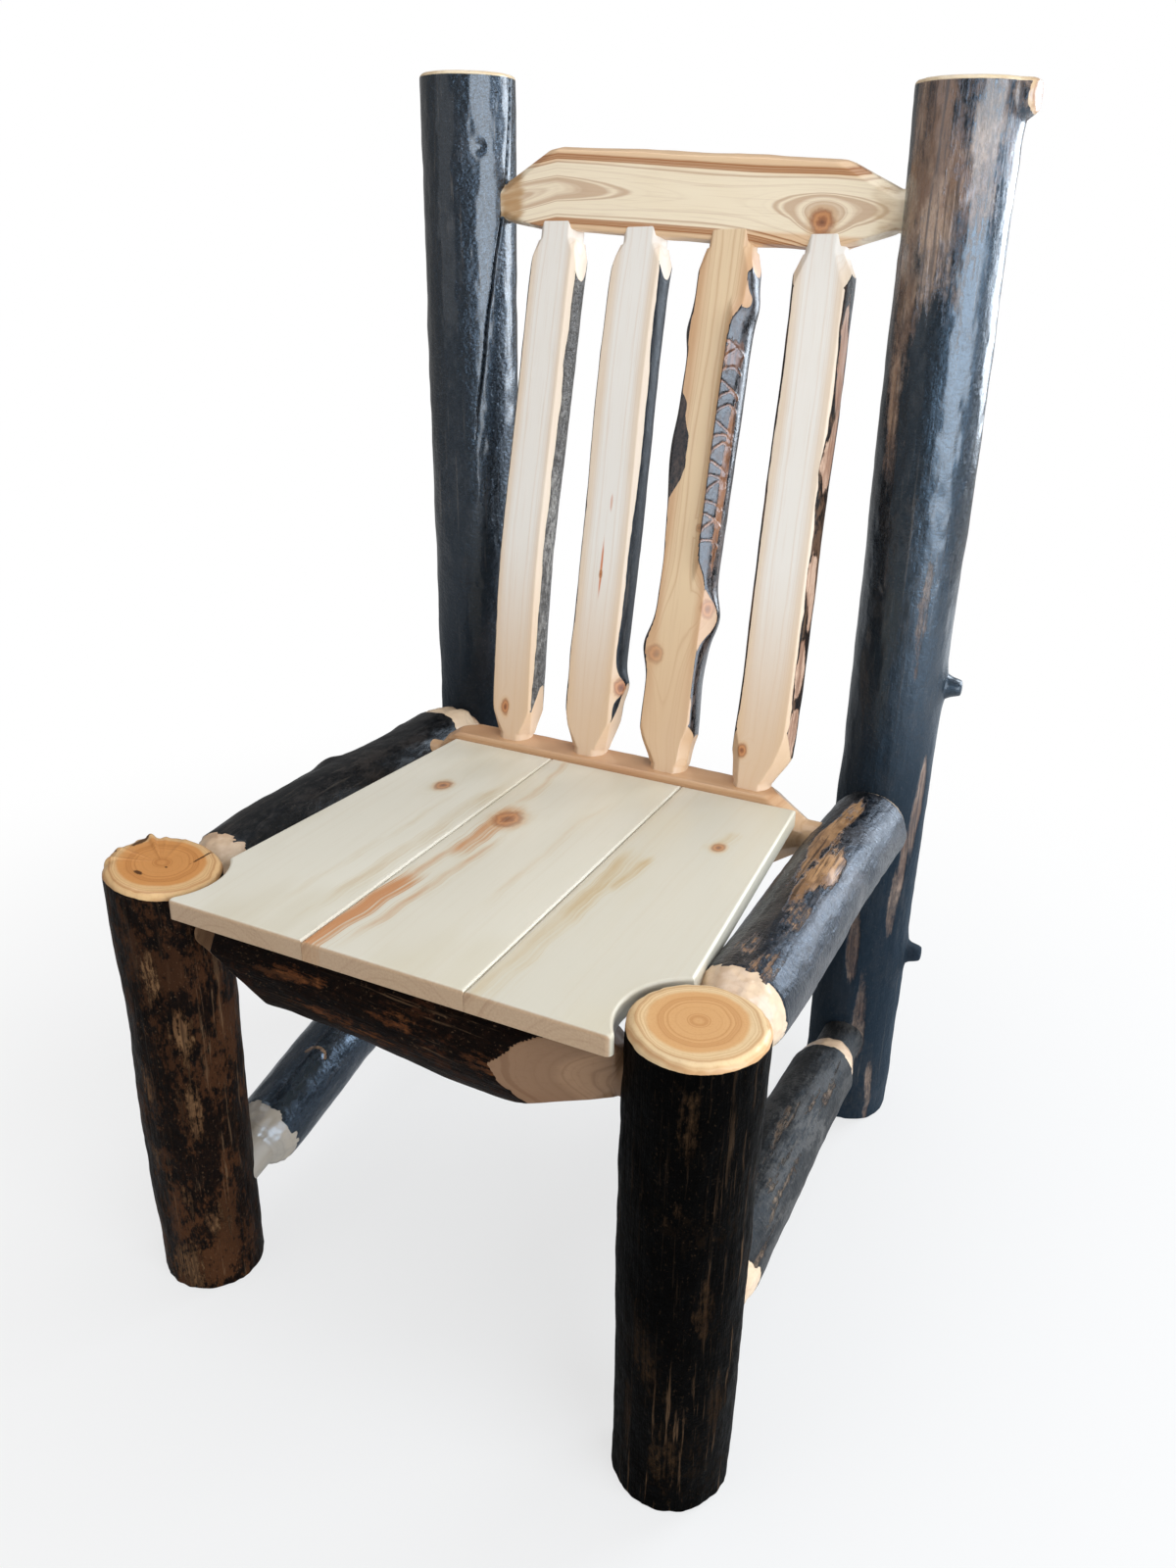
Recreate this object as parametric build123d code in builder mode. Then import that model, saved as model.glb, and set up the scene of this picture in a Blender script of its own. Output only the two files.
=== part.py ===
"""Rustic log chair: round bark logs joined by hewn round tenons, with a sawn board seat.

Millimetres, +Z up, the front of the chair towards -Y.
The origin lies on the floor in the middle of the footprint.
Left and right are those of a person who stands before the chair and looks at it (left is -X).
"""

from build123d import *
import math
import os
from dataclasses import dataclass

# ---------------------------------------------------------------- driving dimensions

# Overall frame
seat_height = 457.0            # top of the seat boards above the floor
frame_depth = 564.0            # front leg axis to rear post axis
front_leg_spacing = 514.0      # between the two front leg axes
rear_post_spacing = 523.0      # between the two rear post axes
front_shift = 2.0              # sideways offset of the front pair from the centre line
rear_shift = -4.0              # sideways offset of the rear pair
left_post_height = 1130.0
right_post_height = 1110.0

# Legs and posts: log radius at the foot, half way up and at the top
left_leg_radii = (48.5, 49.5, 50.5)
right_leg_radii = (51.0, 52.5, 53.5)
left_post_radii = (49.0, 50.0, 50.0)
right_post_radii = (50.0, 49.0, 49.5)
leg_stand_up = 4.0             # leg tops above the seat boards
left_leg_top_slope = 7.0       # degrees that the left leg's top is sawn down towards the seat
leg_top_rounding = 8.0
post_top_rounding = 4.0
foot_chamfer = 3.0

# Round mortise and tenon joints
tenon_radius = 19.0
slim_tenon_radius = 16.5       # tenons of the back slats and of the rear seat rail
tenon_depth = 58.0             # how far a tenon goes into a log
shoulder_gap = 3.0             # bare tenon that shows between the log and the hewn taper
glue_gap = 0.25                # radial room for glue round a tenon
mortise_bottom_gap = 1.0       # room beyond a tenon's end

# Front seat rail
front_rail_radii = (47.0, 48.0, 47.5)
front_rail_drops = (46.0, 61.0)           # pith below the seat's top at the left and the right leg
front_rail_hewn = (56.0, 62.0)   # length of the hewn taper at the left and right end

# Side rails
left_side_rail_radii = (45.0, 46.0, 44.0)
left_side_rail_drops = (51.0, 49.0)       # below the seat's top at the front leg and the rear post
right_side_rail_radii = (40.5, 41.0, 41.0)
right_side_rail_drops = (36.0, 52.0)
right_side_rail_rear_offset = 6.0         # outward from the right post's axis
side_rail_hewn = (30.0, 20.0)
hewn_fullness = 0.75           # half way along a rounded hewn end: 0.5 is a straight taper, 1 a step

# Low stretchers between the front leg and the rear post of each side
left_stretcher_radii = (36.0, 38.0, 41.0)
left_stretcher_heights = (102.0, 180.0)
left_stretcher_front_offset = 20.0   # towards the middle from the left leg's axis
right_stretcher_radii = (37.0, 36.0, 33.0)
right_stretcher_heights = (143.0, 112.0)
right_stretcher_rear_bare = 45.0     # bare tenon that shows before the right post
left_stretcher_hewn = (24.0, 24.0)
right_stretcher_hewn = (40.0, 28.0)

# Seat
board_thickness = 18.0
middle_board_width = 152.6
board_gap = 0.4
board_edge_rounding = 3.0
board_corner_rounding = 5.0     # upright edge at the front corners of the seat
seat_shift = 10.0               # the seat and the slats' feet sit off the centre line
seat_front_half_width = 230.5
seat_back_half_width = 200.0
seat_front_overhang = 43.0      # seat's front edge ahead of the front leg axes
seat_length = 431.0
leg_notch_gap = 8.0             # between a front leg and the notch round it
rail_relief_gap = 2.0           # between a board's side edge and a rail hewn away beside it

# Rear seat rail
rear_rail_radii = (44.0, 45.0, 44.0)
rear_rail_drop = 33.0           # pith below the seat's top
rear_rail_setback = 16.0        # rail axis behind the boards' rear ends
rear_rail_rise = 7.0            # flat top above the seat boards
rear_rail_hewn = (36.0, 44.0)

# Crest rail
crest_radii = (39.5, 40.5, 39.5)
crest_tenon_drops = (120.0, 106.0)   # tenons below the tops of the left and the right post
crest_body_rises = (13.0, 3.5)       # middle of the log above its left and its right tenon
crest_flat_offset = 17.0        # sawn front face ahead of the log's middle
crest_hewn = (63.0, 58.0)

# Back slats
slat_count = 4
slat_body_radii = (29.0, 31.2, 31.5, 31.0)
slat_side_bows = (-7.0, -4.0, -2.0, 4.0)   # how far the middle of a slat bends sideways
slat_foot_pitch = 93.3
slat_foot_setback = 26.5        # slat foot behind the boards' rear ends, at the rail's top
slat_foot_shift = 14.0          # middle of the row of feet from the centre line
slat_head_pitch = 96.3
slat_foot_tenon_lean = 0.25     # back per up
slat_foot_tenon_depth = 29.0
slat_head_tenon_depth = 34.0
slat_hewn = 44.0
slat_flat_offset = slim_tenon_radius + 0.3   # sawn front face, just clear of the tenons
slat_head_advance = 5.0         # slat head ahead of the crest's pith

# Branch stubs on the right post's outer side: height, radius at the tip, stand-out
stub_heights = (220.0, 550.0)
stub_tip_radius = 9.0
stub_stand_out = 11.0
stub_taper = 12.0               # degrees
stub_turn = 8.0                 # degrees backward from straight out
top_knot_radius = 17.0
top_knot_stand_out = 10.0
top_knot_drop = 14.0            # knot middle below the post's top

# Wood screws that hold the boards from below
screw_length = 46.0
screw_shank_radius = 2.25
screw_head_radius = 4.5
screw_head_height = 3.0
screw_bite = 13.0               # how far the point goes into a board
screw_clearance = 0.3
screw_counterbore_radius = 6.5
seam_screw_distance = 28.0      # from a seam to the screws on both sides of it
outer_screw_distance = 62.0     # from a seam to the outer screw of the outer board
rear_screw_setback = 12.0       # ahead of the boards' rear ends

# ---------------------------------------------------------------- places worked out from them

front_y = -frame_depth / 2
rear_y = frame_depth / 2
left_leg_x = front_shift - front_leg_spacing / 2
right_leg_x = front_shift + front_leg_spacing / 2
left_post_x = rear_shift - rear_post_spacing / 2
right_post_x = rear_shift + rear_post_spacing / 2
leg_height = seat_height + leg_stand_up
seat_underside = seat_height - board_thickness
front_rail_left_height, front_rail_right_height = (seat_height - drop for drop in front_rail_drops)
left_side_rail_heights = [seat_height - drop for drop in left_side_rail_drops]
right_side_rail_heights = [seat_height - drop for drop in right_side_rail_drops]
seat_front_y = front_y - seat_front_overhang
seat_back_y = seat_front_y + seat_length
rear_rail_y = seat_back_y + rear_rail_setback
rear_rail_height = seat_height - rear_rail_drop
rear_rail_top = seat_height + rear_rail_rise
crest_y = rear_y
crest_tenon_heights = (left_post_height - crest_tenon_drops[0], right_post_height - crest_tenon_drops[1])
left_seam_x = seat_shift - middle_board_width / 2
right_seam_x = seat_shift + middle_board_width / 2

# The screws stand head down: their points end in the boards
screw_head_seat = seat_underside + screw_bite - screw_length + screw_head_height
screw_columns = (
    left_seam_x - outer_screw_distance,
    left_seam_x - seam_screw_distance,
    left_seam_x + seam_screw_distance,
    right_seam_x - seam_screw_distance,
    right_seam_x + seam_screw_distance,
    right_seam_x + outer_screw_distance,
)
front_screw_places = [(x, front_y) for x in screw_columns]
rear_screw_places = [(x, seat_back_y - rear_screw_setback) for x in screw_columns]
screw_places = front_screw_places + rear_screw_places


def parabola(values, share):
    """Value at a share of the way, on the parabola through start, middle and end value."""
    start, middle, end = values
    return (
        start * (1 - share) * (1 - 2 * share)
        + middle * 4 * share * (1 - share)
        + end * share * (2 * share - 1)
    )


@dataclass
class Pole:
    """A standing log: its pith at x, y, its height, and its radius at foot, middle and top."""

    x: float
    y: float
    height: float
    radii: tuple

    def radius_at(self, z):
        """Radius at height z, on the parabola through the three given radii."""
        return parabola(self.radii, z / self.height)

    def pith(self, z):
        return Vector(self.x, self.y, z)


@dataclass
class Tenon:
    """A round tenon: its tip, the direction from the tip to its shoulder, radius and length."""

    tip: Vector
    direction: Vector
    radius: float
    length: float

    @property
    def shoulder(self):
        return self.tip + self.direction * self.length

    def plane_at(self, distance):
        """Section plane at a distance from the tip, facing the shoulder."""
        return Plane(origin=self.tip + self.direction * distance, z_dir=self.direction)


def tenon_between(surface_point, inward, radius, depth, bare=shoulder_gap):
    """Tenon that enters a log at surface_point, runs depth into it along inward, and shows bare outside."""
    inward = inward.normalized()
    return Tenon(surface_point + inward * depth, inward * -1, radius, depth + bare)


left_leg = Pole(left_leg_x, front_y, leg_height, left_leg_radii)
right_leg = Pole(right_leg_x, front_y, leg_height, right_leg_radii)
left_post = Pole(left_post_x, rear_y, left_post_height, left_post_radii)
right_post = Pole(right_post_x, rear_y, right_post_height, right_post_radii)


def pole_tenon(pole, toward, z, depth=tenon_depth, side_offset=0.0, bare=shoulder_gap):
    """Tenon of a rail that runs from the pole at height z to the point toward.

    Its shoulder clears the part of the pole's surface that stands out farthest beside it.
    """
    start = pole.pith(z) + Vector(side_offset, 0, 0)
    direction = (toward - start).normalized()
    nearest_offset = max(abs(side_offset) - tenon_radius, 0)
    reach = math.sqrt(pole.radius_at(z) ** 2 - nearest_offset**2)
    tilt = tenon_radius * abs(direction.Z)
    surface_point = start + direction * (reach + tilt)
    return tenon_between(surface_point, direction * -1, tenon_radius, depth + tilt, bare)


# Front rail: its tenons go past the front legs' piths, the side rails' tenons stop short of them
front_rail_left_end = left_leg.pith(front_rail_left_height)
front_rail_right_end = right_leg.pith(front_rail_right_height)
front_rail_tenons = (
    pole_tenon(left_leg, front_rail_right_end, front_rail_left_height),
    pole_tenon(right_leg, front_rail_left_end, front_rail_right_height),
)


def short_depth(pole, z):
    """Tenon depth in a front leg that ends just short of the front rail's tenon."""
    return pole.radius_at(z) - tenon_radius - 2 * mortise_bottom_gap - glue_gap


def side_tenons(leg, post, heights, front_depth, front_offset=0.0, rear_offset=0.0, rear_bare=shoulder_gap):
    """Front and rear tenons of a rail between a front leg and the rear post behind it."""
    front_point = leg.pith(heights[0]) + Vector(front_offset, 0, 0)
    rear_point = post.pith(heights[1]) + Vector(rear_offset, 0, 0)
    return (
        pole_tenon(leg, rear_point, heights[0], front_depth, front_offset),
        pole_tenon(post, front_point, heights[1], tenon_depth, rear_offset, rear_bare),
    )


left_side_tenons = side_tenons(
    left_leg, left_post, left_side_rail_heights, short_depth(left_leg, left_side_rail_heights[0])
)
right_side_tenons = side_tenons(
    right_leg, right_post, right_side_rail_heights, short_depth(right_leg, right_side_rail_heights[0]),
    rear_offset=right_side_rail_rear_offset
)
left_stretcher_tenons = side_tenons(
    left_leg, left_post, left_stretcher_heights, tenon_depth, left_stretcher_front_offset
)
right_stretcher_tenons = side_tenons(
    right_leg, right_post, right_stretcher_heights, tenon_depth, rear_bare=right_stretcher_rear_bare
)


def along(start, end, y):
    """Point of the line from start to end at the given y."""
    share = (y - start.Y) / (end.Y - start.Y)
    return start + (end - start) * share


# Rear seat rail: tenoned into the inner sides of the side rails
rear_rail_left_pith = along(left_side_tenons[0].tip, left_side_tenons[1].tip, rear_rail_y)
rear_rail_right_pith = along(right_side_tenons[0].tip, right_side_tenons[1].tip, rear_rail_y)


def side_rail_tenon(pith, rail_radius, inward):
    """Rear seat rail's tenon in a side rail whose pith passes through the point pith."""
    rise = rear_rail_height - pith.Z
    reach = math.sqrt(rail_radius**2 - rise**2)
    surface = Vector(pith.X - inward * reach, rear_rail_y, rear_rail_height)
    return tenon_between(surface, Vector(inward, 0, 0), slim_tenon_radius, rail_radius)


rear_rail_tenons = (
    side_rail_tenon(rear_rail_left_pith, left_side_rail_radii[1], -1),
    side_rail_tenon(rear_rail_right_pith, right_side_rail_radii[1], 1),
)

# Crest rail: level tenons in the posts' inner sides
crest_tenons = (
    pole_tenon(left_post, right_post.pith(crest_tenon_heights[0]), crest_tenon_heights[0]),
    pole_tenon(right_post, left_post.pith(crest_tenon_heights[1]), crest_tenon_heights[1]),
)


def crest_body_center(x):
    """Middle of the crest log at x."""
    left, right = (tenon.shoulder.X for tenon in crest_tenons)
    share = (x - left) / (right - left)
    left_height, right_height = (
        tenon_height + rise for tenon_height, rise in zip(crest_tenon_heights, crest_body_rises)
    )
    height = left_height + share * (right_height - left_height)
    return Vector(x, crest_y, height)


def slat_end_places(index):
    """Foot of a slat on the rear seat rail's top, and its head at the crest rail's underside."""
    place = index - (slat_count - 1) / 2
    foot = Vector(slat_foot_shift + place * slat_foot_pitch, seat_back_y + slat_foot_setback, rear_rail_top)
    head_x = rear_shift + place * slat_head_pitch
    underside = crest_body_center(head_x).Z - crest_radii[1]
    return foot, Vector(head_x, crest_y - slat_head_advance, underside)


def slat_tenons(index):
    """Foot and head tenons of a slat."""
    foot, head = slat_end_places(index)
    sideways = (head.X - foot.X) / (head.Z - foot.Z)
    foot_tenon = tenon_between(foot, Vector(-sideways, -slat_foot_tenon_lean, -1),
                               slim_tenon_radius, slat_foot_tenon_depth)
    head_tenon = tenon_between(head, head - foot, slim_tenon_radius, slat_head_tenon_depth)
    return foot_tenon, head_tenon


all_slat_tenons = [slat_tenons(index) for index in range(slat_count)]


def section_planes(start, end, bow, shares):
    """Section planes across a log between two points whose middle is moved by the vector bow."""
    planes = []
    for share in shares:
        center = start + (end - start) * share + bow * (4 * share * (1 - share))
        run = (end - start) + bow * (4 * (1 - 2 * share))
        planes.append(Plane(origin=center, z_dir=run.normalized()))
    return planes


# ---------------------------------------------------------------- pieces

body_shares = (0.0, 0.25, 0.5, 0.75, 1.0)
pole_blank_shares = (0.0, 0.5, 1.04)    # a little too long, to be sawn to length


def make_pole(label, pole, tenons, top_rounding, top_slope=0.0, stubs=(), top_knot=False):
    """Standing log with mortises for the given tenons and, if asked, cut branches."""
    outward = math.copysign(1, pole.x)
    stub_direction = Vector(outward, 0, 0).rotate(Axis.Z, outward * stub_turn)
    stub_reach = pole.radii[1] + stub_stand_out
    with BuildPart() as log:
        for share in pole_blank_shares:
            with BuildSketch(Plane(origin=pole.pith(pole.height * share))):
                Circle(parabola(pole.radii, share))
        loft()
        for height in stubs:
            with BuildSketch(Plane(origin=pole.pith(height), z_dir=stub_direction)):
                Circle(stub_tip_radius + stub_reach * math.tan(math.radians(stub_taper)))
            extrude(amount=stub_reach, taper=stub_taper)
        top_cut = Plane(origin=pole.pith(pole.height)).rotated((0, top_slope, 0))
        split(bisect_by=top_cut, keep=Keep.BOTTOM)
        fillet(log.faces().sort_by(Axis.Z)[-1].edges(), top_rounding)
        chamfer(log.faces().sort_by(Axis.Z)[0].edges(), foot_chamfer)
        if top_knot:
            with BuildSketch(Plane(origin=pole.pith(pole.height - top_knot_drop), z_dir=stub_direction)):
                Circle(top_knot_radius)
            extrude(amount=pole.radii[2] + top_knot_stand_out)
            split(bisect_by=top_cut, keep=Keep.BOTTOM)
        for tenon in tenons:
            with BuildSketch(tenon.plane_at(-mortise_bottom_gap)):
                Circle(tenon.radius + glue_gap)
            extrude(amount=mortise_bottom_gap + tenon.length + tenon.radius, mode=Mode.SUBTRACT)
    log.part.label = label
    return log.part


def make_rail(label, tenons, radii, hewn, body_center=None, mortised_for=(), fullness=0.5):
    """Lying log: bark body between two hewn ends, each running down to a round tenon."""
    first, last = tenons
    run = (last.shoulder - first.shoulder).normalized()
    start = first.shoulder + run * hewn[0]
    end = last.shoulder - run * hewn[1]
    if body_center:
        start = body_center(start.X)
        end = body_center(end.X)
    planes = section_planes(start, end, Vector(0, 0, 0), body_shares)
    with BuildPart() as rail:
        for plane, share in zip(planes, body_shares):
            with BuildSketch(plane):
                Circle(parabola(radii, share))
        loft()
        for tenon, plane, radius in ((first, planes[0], radii[0]), (last, planes[-1], radii[2])):
            with BuildSketch(plane):
                Circle(radius)
            with BuildSketch(Plane(origin=(plane.origin + tenon.shoulder) / 2, z_dir=plane.z_dir)):
                Circle(tenon.radius + (radius - tenon.radius) * fullness)
            with BuildSketch(tenon.plane_at(tenon.length)):
                Circle(tenon.radius)
            loft(ruled=True)
            with BuildSketch(tenon.plane_at(0)):
                Circle(tenon.radius)
            extrude(amount=tenon.length)
        for tenon in mortised_for:
            with BuildSketch(tenon.plane_at(-mortise_bottom_gap)):
                Circle(tenon.radius + glue_gap)
            extrude(amount=mortise_bottom_gap + tenon.length + tenon.radius, mode=Mode.SUBTRACT)
    rail.part.label = label
    return rail.part


def seat_edge_x(side, y):
    """Side edge of the seat at y: side is -1 for the left edge and 1 for the right one."""
    share = (y - seat_front_y) / seat_length
    half_width = seat_front_half_width + share * (seat_back_half_width - seat_front_half_width)
    return seat_shift + side * half_width


def make_side_rail(label, tenons, radii, rear_rail_tenon):
    """Side rail, hewn away where it would reach into the boards' side edge."""
    blank = make_rail(
        label, tenons, radii, side_rail_hewn, mortised_for=(rear_rail_tenon,), fullness=hewn_fullness
    )
    with BuildPart() as rail:
        add(blank)
        with BuildSketch(Plane.XY.offset(seat_underside - rail_relief_gap)):
            with BuildLine():
                Polyline(
                    (seat_edge_x(-1, seat_front_y) - rail_relief_gap, seat_front_y),
                    (seat_edge_x(1, seat_front_y) + rail_relief_gap, seat_front_y),
                    (seat_edge_x(1, seat_back_y) + rail_relief_gap, seat_back_y),
                    (seat_edge_x(-1, seat_back_y) - rail_relief_gap, seat_back_y),
                    close=True,
                )
            make_face()
        extrude(amount=board_thickness + 2 * rail_relief_gap, mode=Mode.SUBTRACT)
    rail.part.label = label
    return rail.part


def make_screwed_rail(label, blank, screw_places):
    """Rail with a clearance hole and a counterbore from below at each screw."""
    with BuildPart() as rail:
        add(blank)
        with BuildSketch(Plane.XY.offset(screw_head_seat)):
            with Locations(*screw_places):
                Circle(screw_counterbore_radius)
        extrude(amount=-screw_head_seat, mode=Mode.SUBTRACT)
        with BuildSketch(Plane.XY.offset(screw_head_seat)):
            with Locations(*screw_places):
                Circle(screw_shank_radius + screw_clearance)
        extrude(amount=screw_length, mode=Mode.SUBTRACT)
    rail.part.label = label
    return rail.part


def make_front_rail():
    """Front seat rail, flat on top under the boards."""
    blank = make_rail("front_rail", front_rail_tenons, front_rail_radii, front_rail_hewn)
    with BuildPart() as flattened:
        add(blank)
        split(bisect_by=Plane.XY.offset(seat_underside), keep=Keep.BOTTOM)
    return make_screwed_rail("front_rail", flattened.part, front_screw_places)


def make_rear_seat_rail():
    """Peeled rear rail, flat on top, with a rabbet that carries the boards' rear ends."""
    tenons = [foot_tenon for foot_tenon, head_tenon in all_slat_tenons]
    blank = make_rail("rear_seat_rail", rear_rail_tenons, rear_rail_radii, rear_rail_hewn)
    with BuildPart() as rabbeted:
        add(blank)
        split(bisect_by=Plane.XY.offset(rear_rail_top), keep=Keep.BOTTOM)
        with BuildSketch(Plane.XY.offset(seat_underside)):
            with Locations((seat_shift, seat_back_y + board_gap)):
                Rectangle(rear_post_spacing, seat_length, align=(Align.CENTER, Align.MAX))
        extrude(amount=board_thickness + rear_rail_rise, mode=Mode.SUBTRACT)
        for tenon in tenons:
            with BuildSketch(tenon.plane_at(-mortise_bottom_gap)):
                Circle(tenon.radius + glue_gap)
            extrude(amount=mortise_bottom_gap + tenon.length + tenon.radius, mode=Mode.SUBTRACT)
    return make_screwed_rail("rear_seat_rail", rabbeted.part, rear_screw_places)


def make_crest_rail():
    """Crest rail: a log with a sawn front face, mortised below for the slats."""
    tenons = [head_tenon for foot_tenon, head_tenon in all_slat_tenons]
    blank = make_rail("crest_rail", crest_tenons, crest_radii, crest_hewn, crest_body_center, tenons)
    with BuildPart() as crest:
        add(blank)
        split(bisect_by=Plane.XZ.offset(crest_flat_offset - crest_y), keep=Keep.BOTTOM)
    crest.part.label = "crest_rail"
    return crest.part


def make_slat(index):
    """Back slat: a small crooked log, sawn flat in front, with a hewn tenon at foot and head."""
    foot_tenon, head_tenon = all_slat_tenons[index]
    radius = slat_body_radii[index]
    bow = Vector(slat_side_bows[index], 0, 0)
    chord = head_tenon.shoulder - foot_tenon.shoulder
    hewn_share = slat_hewn / chord.length
    shares = [hewn_share + share * (1 - 2 * hewn_share) for share in body_shares]
    planes = section_planes(foot_tenon.shoulder, head_tenon.shoulder, bow, shares)
    with BuildPart() as slat:
        for plane in planes:
            with BuildSketch(plane):
                Circle(radius)
        loft()
        for tenon, plane in ((foot_tenon, planes[0]), (head_tenon, planes[-1])):
            with BuildSketch(plane):
                Circle(radius)
            with BuildSketch(tenon.plane_at(tenon.length)):
                Circle(tenon.radius)
            loft(ruled=True)
            with BuildSketch(tenon.plane_at(0)):
                Circle(tenon.radius)
            extrude(amount=tenon.length)
        with BuildSketch(Plane.YZ):
            with BuildLine():
                Polyline(
                    (foot_tenon.shoulder.Y - slat_flat_offset, foot_tenon.shoulder.Z),
                    (head_tenon.shoulder.Y - slat_flat_offset, head_tenon.shoulder.Z),
                    (front_y, head_tenon.shoulder.Z),
                    (front_y, foot_tenon.shoulder.Z),
                    close=True,
                )
            make_face()
        extrude(amount=frame_depth, both=True, mode=Mode.SUBTRACT)
    slat.part.label = f"back_slat_{index + 1}"
    return slat.part


def make_board(label, front_x, back_x, leg, screw_places):
    """Seat board between two x values at its front end and two at its back end."""
    with BuildPart() as board:
        with BuildSketch(Plane.XY.offset(seat_underside)) as outline:
            with BuildLine():
                Polyline(
                    (front_x[0], seat_front_y),
                    (front_x[1], seat_front_y),
                    (back_x[1], seat_back_y),
                    (back_x[0], seat_back_y),
                    close=True,
                )
            make_face()
            if leg:
                with Locations((leg.x, leg.y)):
                    Circle(leg.radius_at(seat_height) + leg_notch_gap, mode=Mode.SUBTRACT)
                front_corners = outline.vertices().group_by(Axis.Y)[0].sort_by(Axis.X)
                fillet(front_corners[0 if leg.x < 0 else -1], board_corner_rounding)
        extrude(amount=board_thickness)
        fillet(board.faces().sort_by(Axis.Z)[-1].edges(), board_edge_rounding)
        with BuildSketch(Plane.XY.offset(seat_underside)):
            with Locations(*screw_places):
                Circle(screw_shank_radius + glue_gap)
        extrude(amount=screw_bite + mortise_bottom_gap, mode=Mode.SUBTRACT)
    board.part.label = label
    return board.part


def make_screws(label, places):
    """Wood screws, heads down, one at each place."""
    with BuildPart() as screws:
        with BuildSketch(Plane.XY.offset(screw_head_seat)):
            with Locations(*places):
                Circle(screw_head_radius)
        extrude(amount=-screw_head_height)
        with BuildSketch(Plane.XY.offset(screw_head_seat)):
            with Locations(*places):
                Circle(screw_shank_radius)
        extrude(amount=screw_length - screw_head_height)
    screws.part.label = label
    return screws.part


# ---------------------------------------------------------------- assembly

parts = [
    make_pole(
        "front_leg_left",
        left_leg,
        (front_rail_tenons[0], left_side_tenons[0], left_stretcher_tenons[0]),
        leg_top_rounding,
        left_leg_top_slope,
    ),
    make_pole(
        "front_leg_right",
        right_leg,
        (front_rail_tenons[1], right_side_tenons[0], right_stretcher_tenons[0]),
        leg_top_rounding,
    ),
    make_pole(
        "rear_post_left",
        left_post,
        (left_side_tenons[1], left_stretcher_tenons[1], crest_tenons[0]),
        post_top_rounding,
    ),
    make_pole(
        "rear_post_right",
        right_post,
        (right_side_tenons[1], right_stretcher_tenons[1], crest_tenons[1]),
        post_top_rounding,
        stubs=stub_heights,
        top_knot=True,
    ),
    make_front_rail(),
    make_rear_seat_rail(),
    make_crest_rail(),
    make_side_rail("side_rail_left", left_side_tenons, left_side_rail_radii, rear_rail_tenons[0]),
    make_side_rail("side_rail_right", right_side_tenons, right_side_rail_radii, rear_rail_tenons[1]),
    make_rail("stretcher_left", left_stretcher_tenons, left_stretcher_radii, left_stretcher_hewn,
              fullness=hewn_fullness),
    make_rail("stretcher_right", right_stretcher_tenons, right_stretcher_radii, right_stretcher_hewn,
              fullness=hewn_fullness),
    *[make_slat(index) for index in range(slat_count)],
    make_board(
        "seat_board_left",
        (seat_edge_x(-1, seat_front_y), left_seam_x - board_gap / 2),
        (seat_edge_x(-1, seat_back_y), left_seam_x - board_gap / 2),
        left_leg,
        [place for place in screw_places if place[0] < left_seam_x],
    ),
    make_board(
        "seat_board_middle",
        (left_seam_x + board_gap / 2, right_seam_x - board_gap / 2),
        (left_seam_x + board_gap / 2, right_seam_x - board_gap / 2),
        None,
        [place for place in screw_places if left_seam_x < place[0] < right_seam_x],
    ),
    make_board(
        "seat_board_right",
        (right_seam_x + board_gap / 2, seat_edge_x(1, seat_front_y)),
        (right_seam_x + board_gap / 2, seat_edge_x(1, seat_back_y)),
        right_leg,
        [place for place in screw_places if place[0] > right_seam_x],
    ),
    make_screws("front_seat_screws", front_screw_places),
    make_screws("rear_seat_screws", rear_screw_places),
]

os.makedirs("parts", exist_ok=True)
for part in parts:
    export_step(part, f"parts/{part.label}.step")
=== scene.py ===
"""The looks of a rustic log chair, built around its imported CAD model.

Each log is a fine mesh worked in millimetres on a grid of rings: along the log, and round it.
Bark, bumps, peeled patches, hewn ends and sawn flats are carved into the rings' radii one by one.
The surface keeps its place in the log as the vertex attribute "grain", which the wood and bark
materials read, so that growth rings, fibres and bark run with each log.
"""

import math

import bpy
import numpy as np
from mathutils import Matrix, Vector


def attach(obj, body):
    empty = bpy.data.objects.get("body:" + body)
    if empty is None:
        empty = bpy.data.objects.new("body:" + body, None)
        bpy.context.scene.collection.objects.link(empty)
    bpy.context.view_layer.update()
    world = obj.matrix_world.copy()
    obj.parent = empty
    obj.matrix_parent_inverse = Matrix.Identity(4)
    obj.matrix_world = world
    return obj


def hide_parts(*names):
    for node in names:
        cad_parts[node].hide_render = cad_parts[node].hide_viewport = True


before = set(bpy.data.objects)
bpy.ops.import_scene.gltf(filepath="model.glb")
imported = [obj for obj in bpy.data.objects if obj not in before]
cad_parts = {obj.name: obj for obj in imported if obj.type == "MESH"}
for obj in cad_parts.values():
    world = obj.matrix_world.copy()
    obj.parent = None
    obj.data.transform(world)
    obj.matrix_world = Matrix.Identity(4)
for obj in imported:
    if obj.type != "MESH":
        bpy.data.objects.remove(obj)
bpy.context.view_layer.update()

MM = 0.001

# ---------------- sizes shared with the solids, in mm

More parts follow.
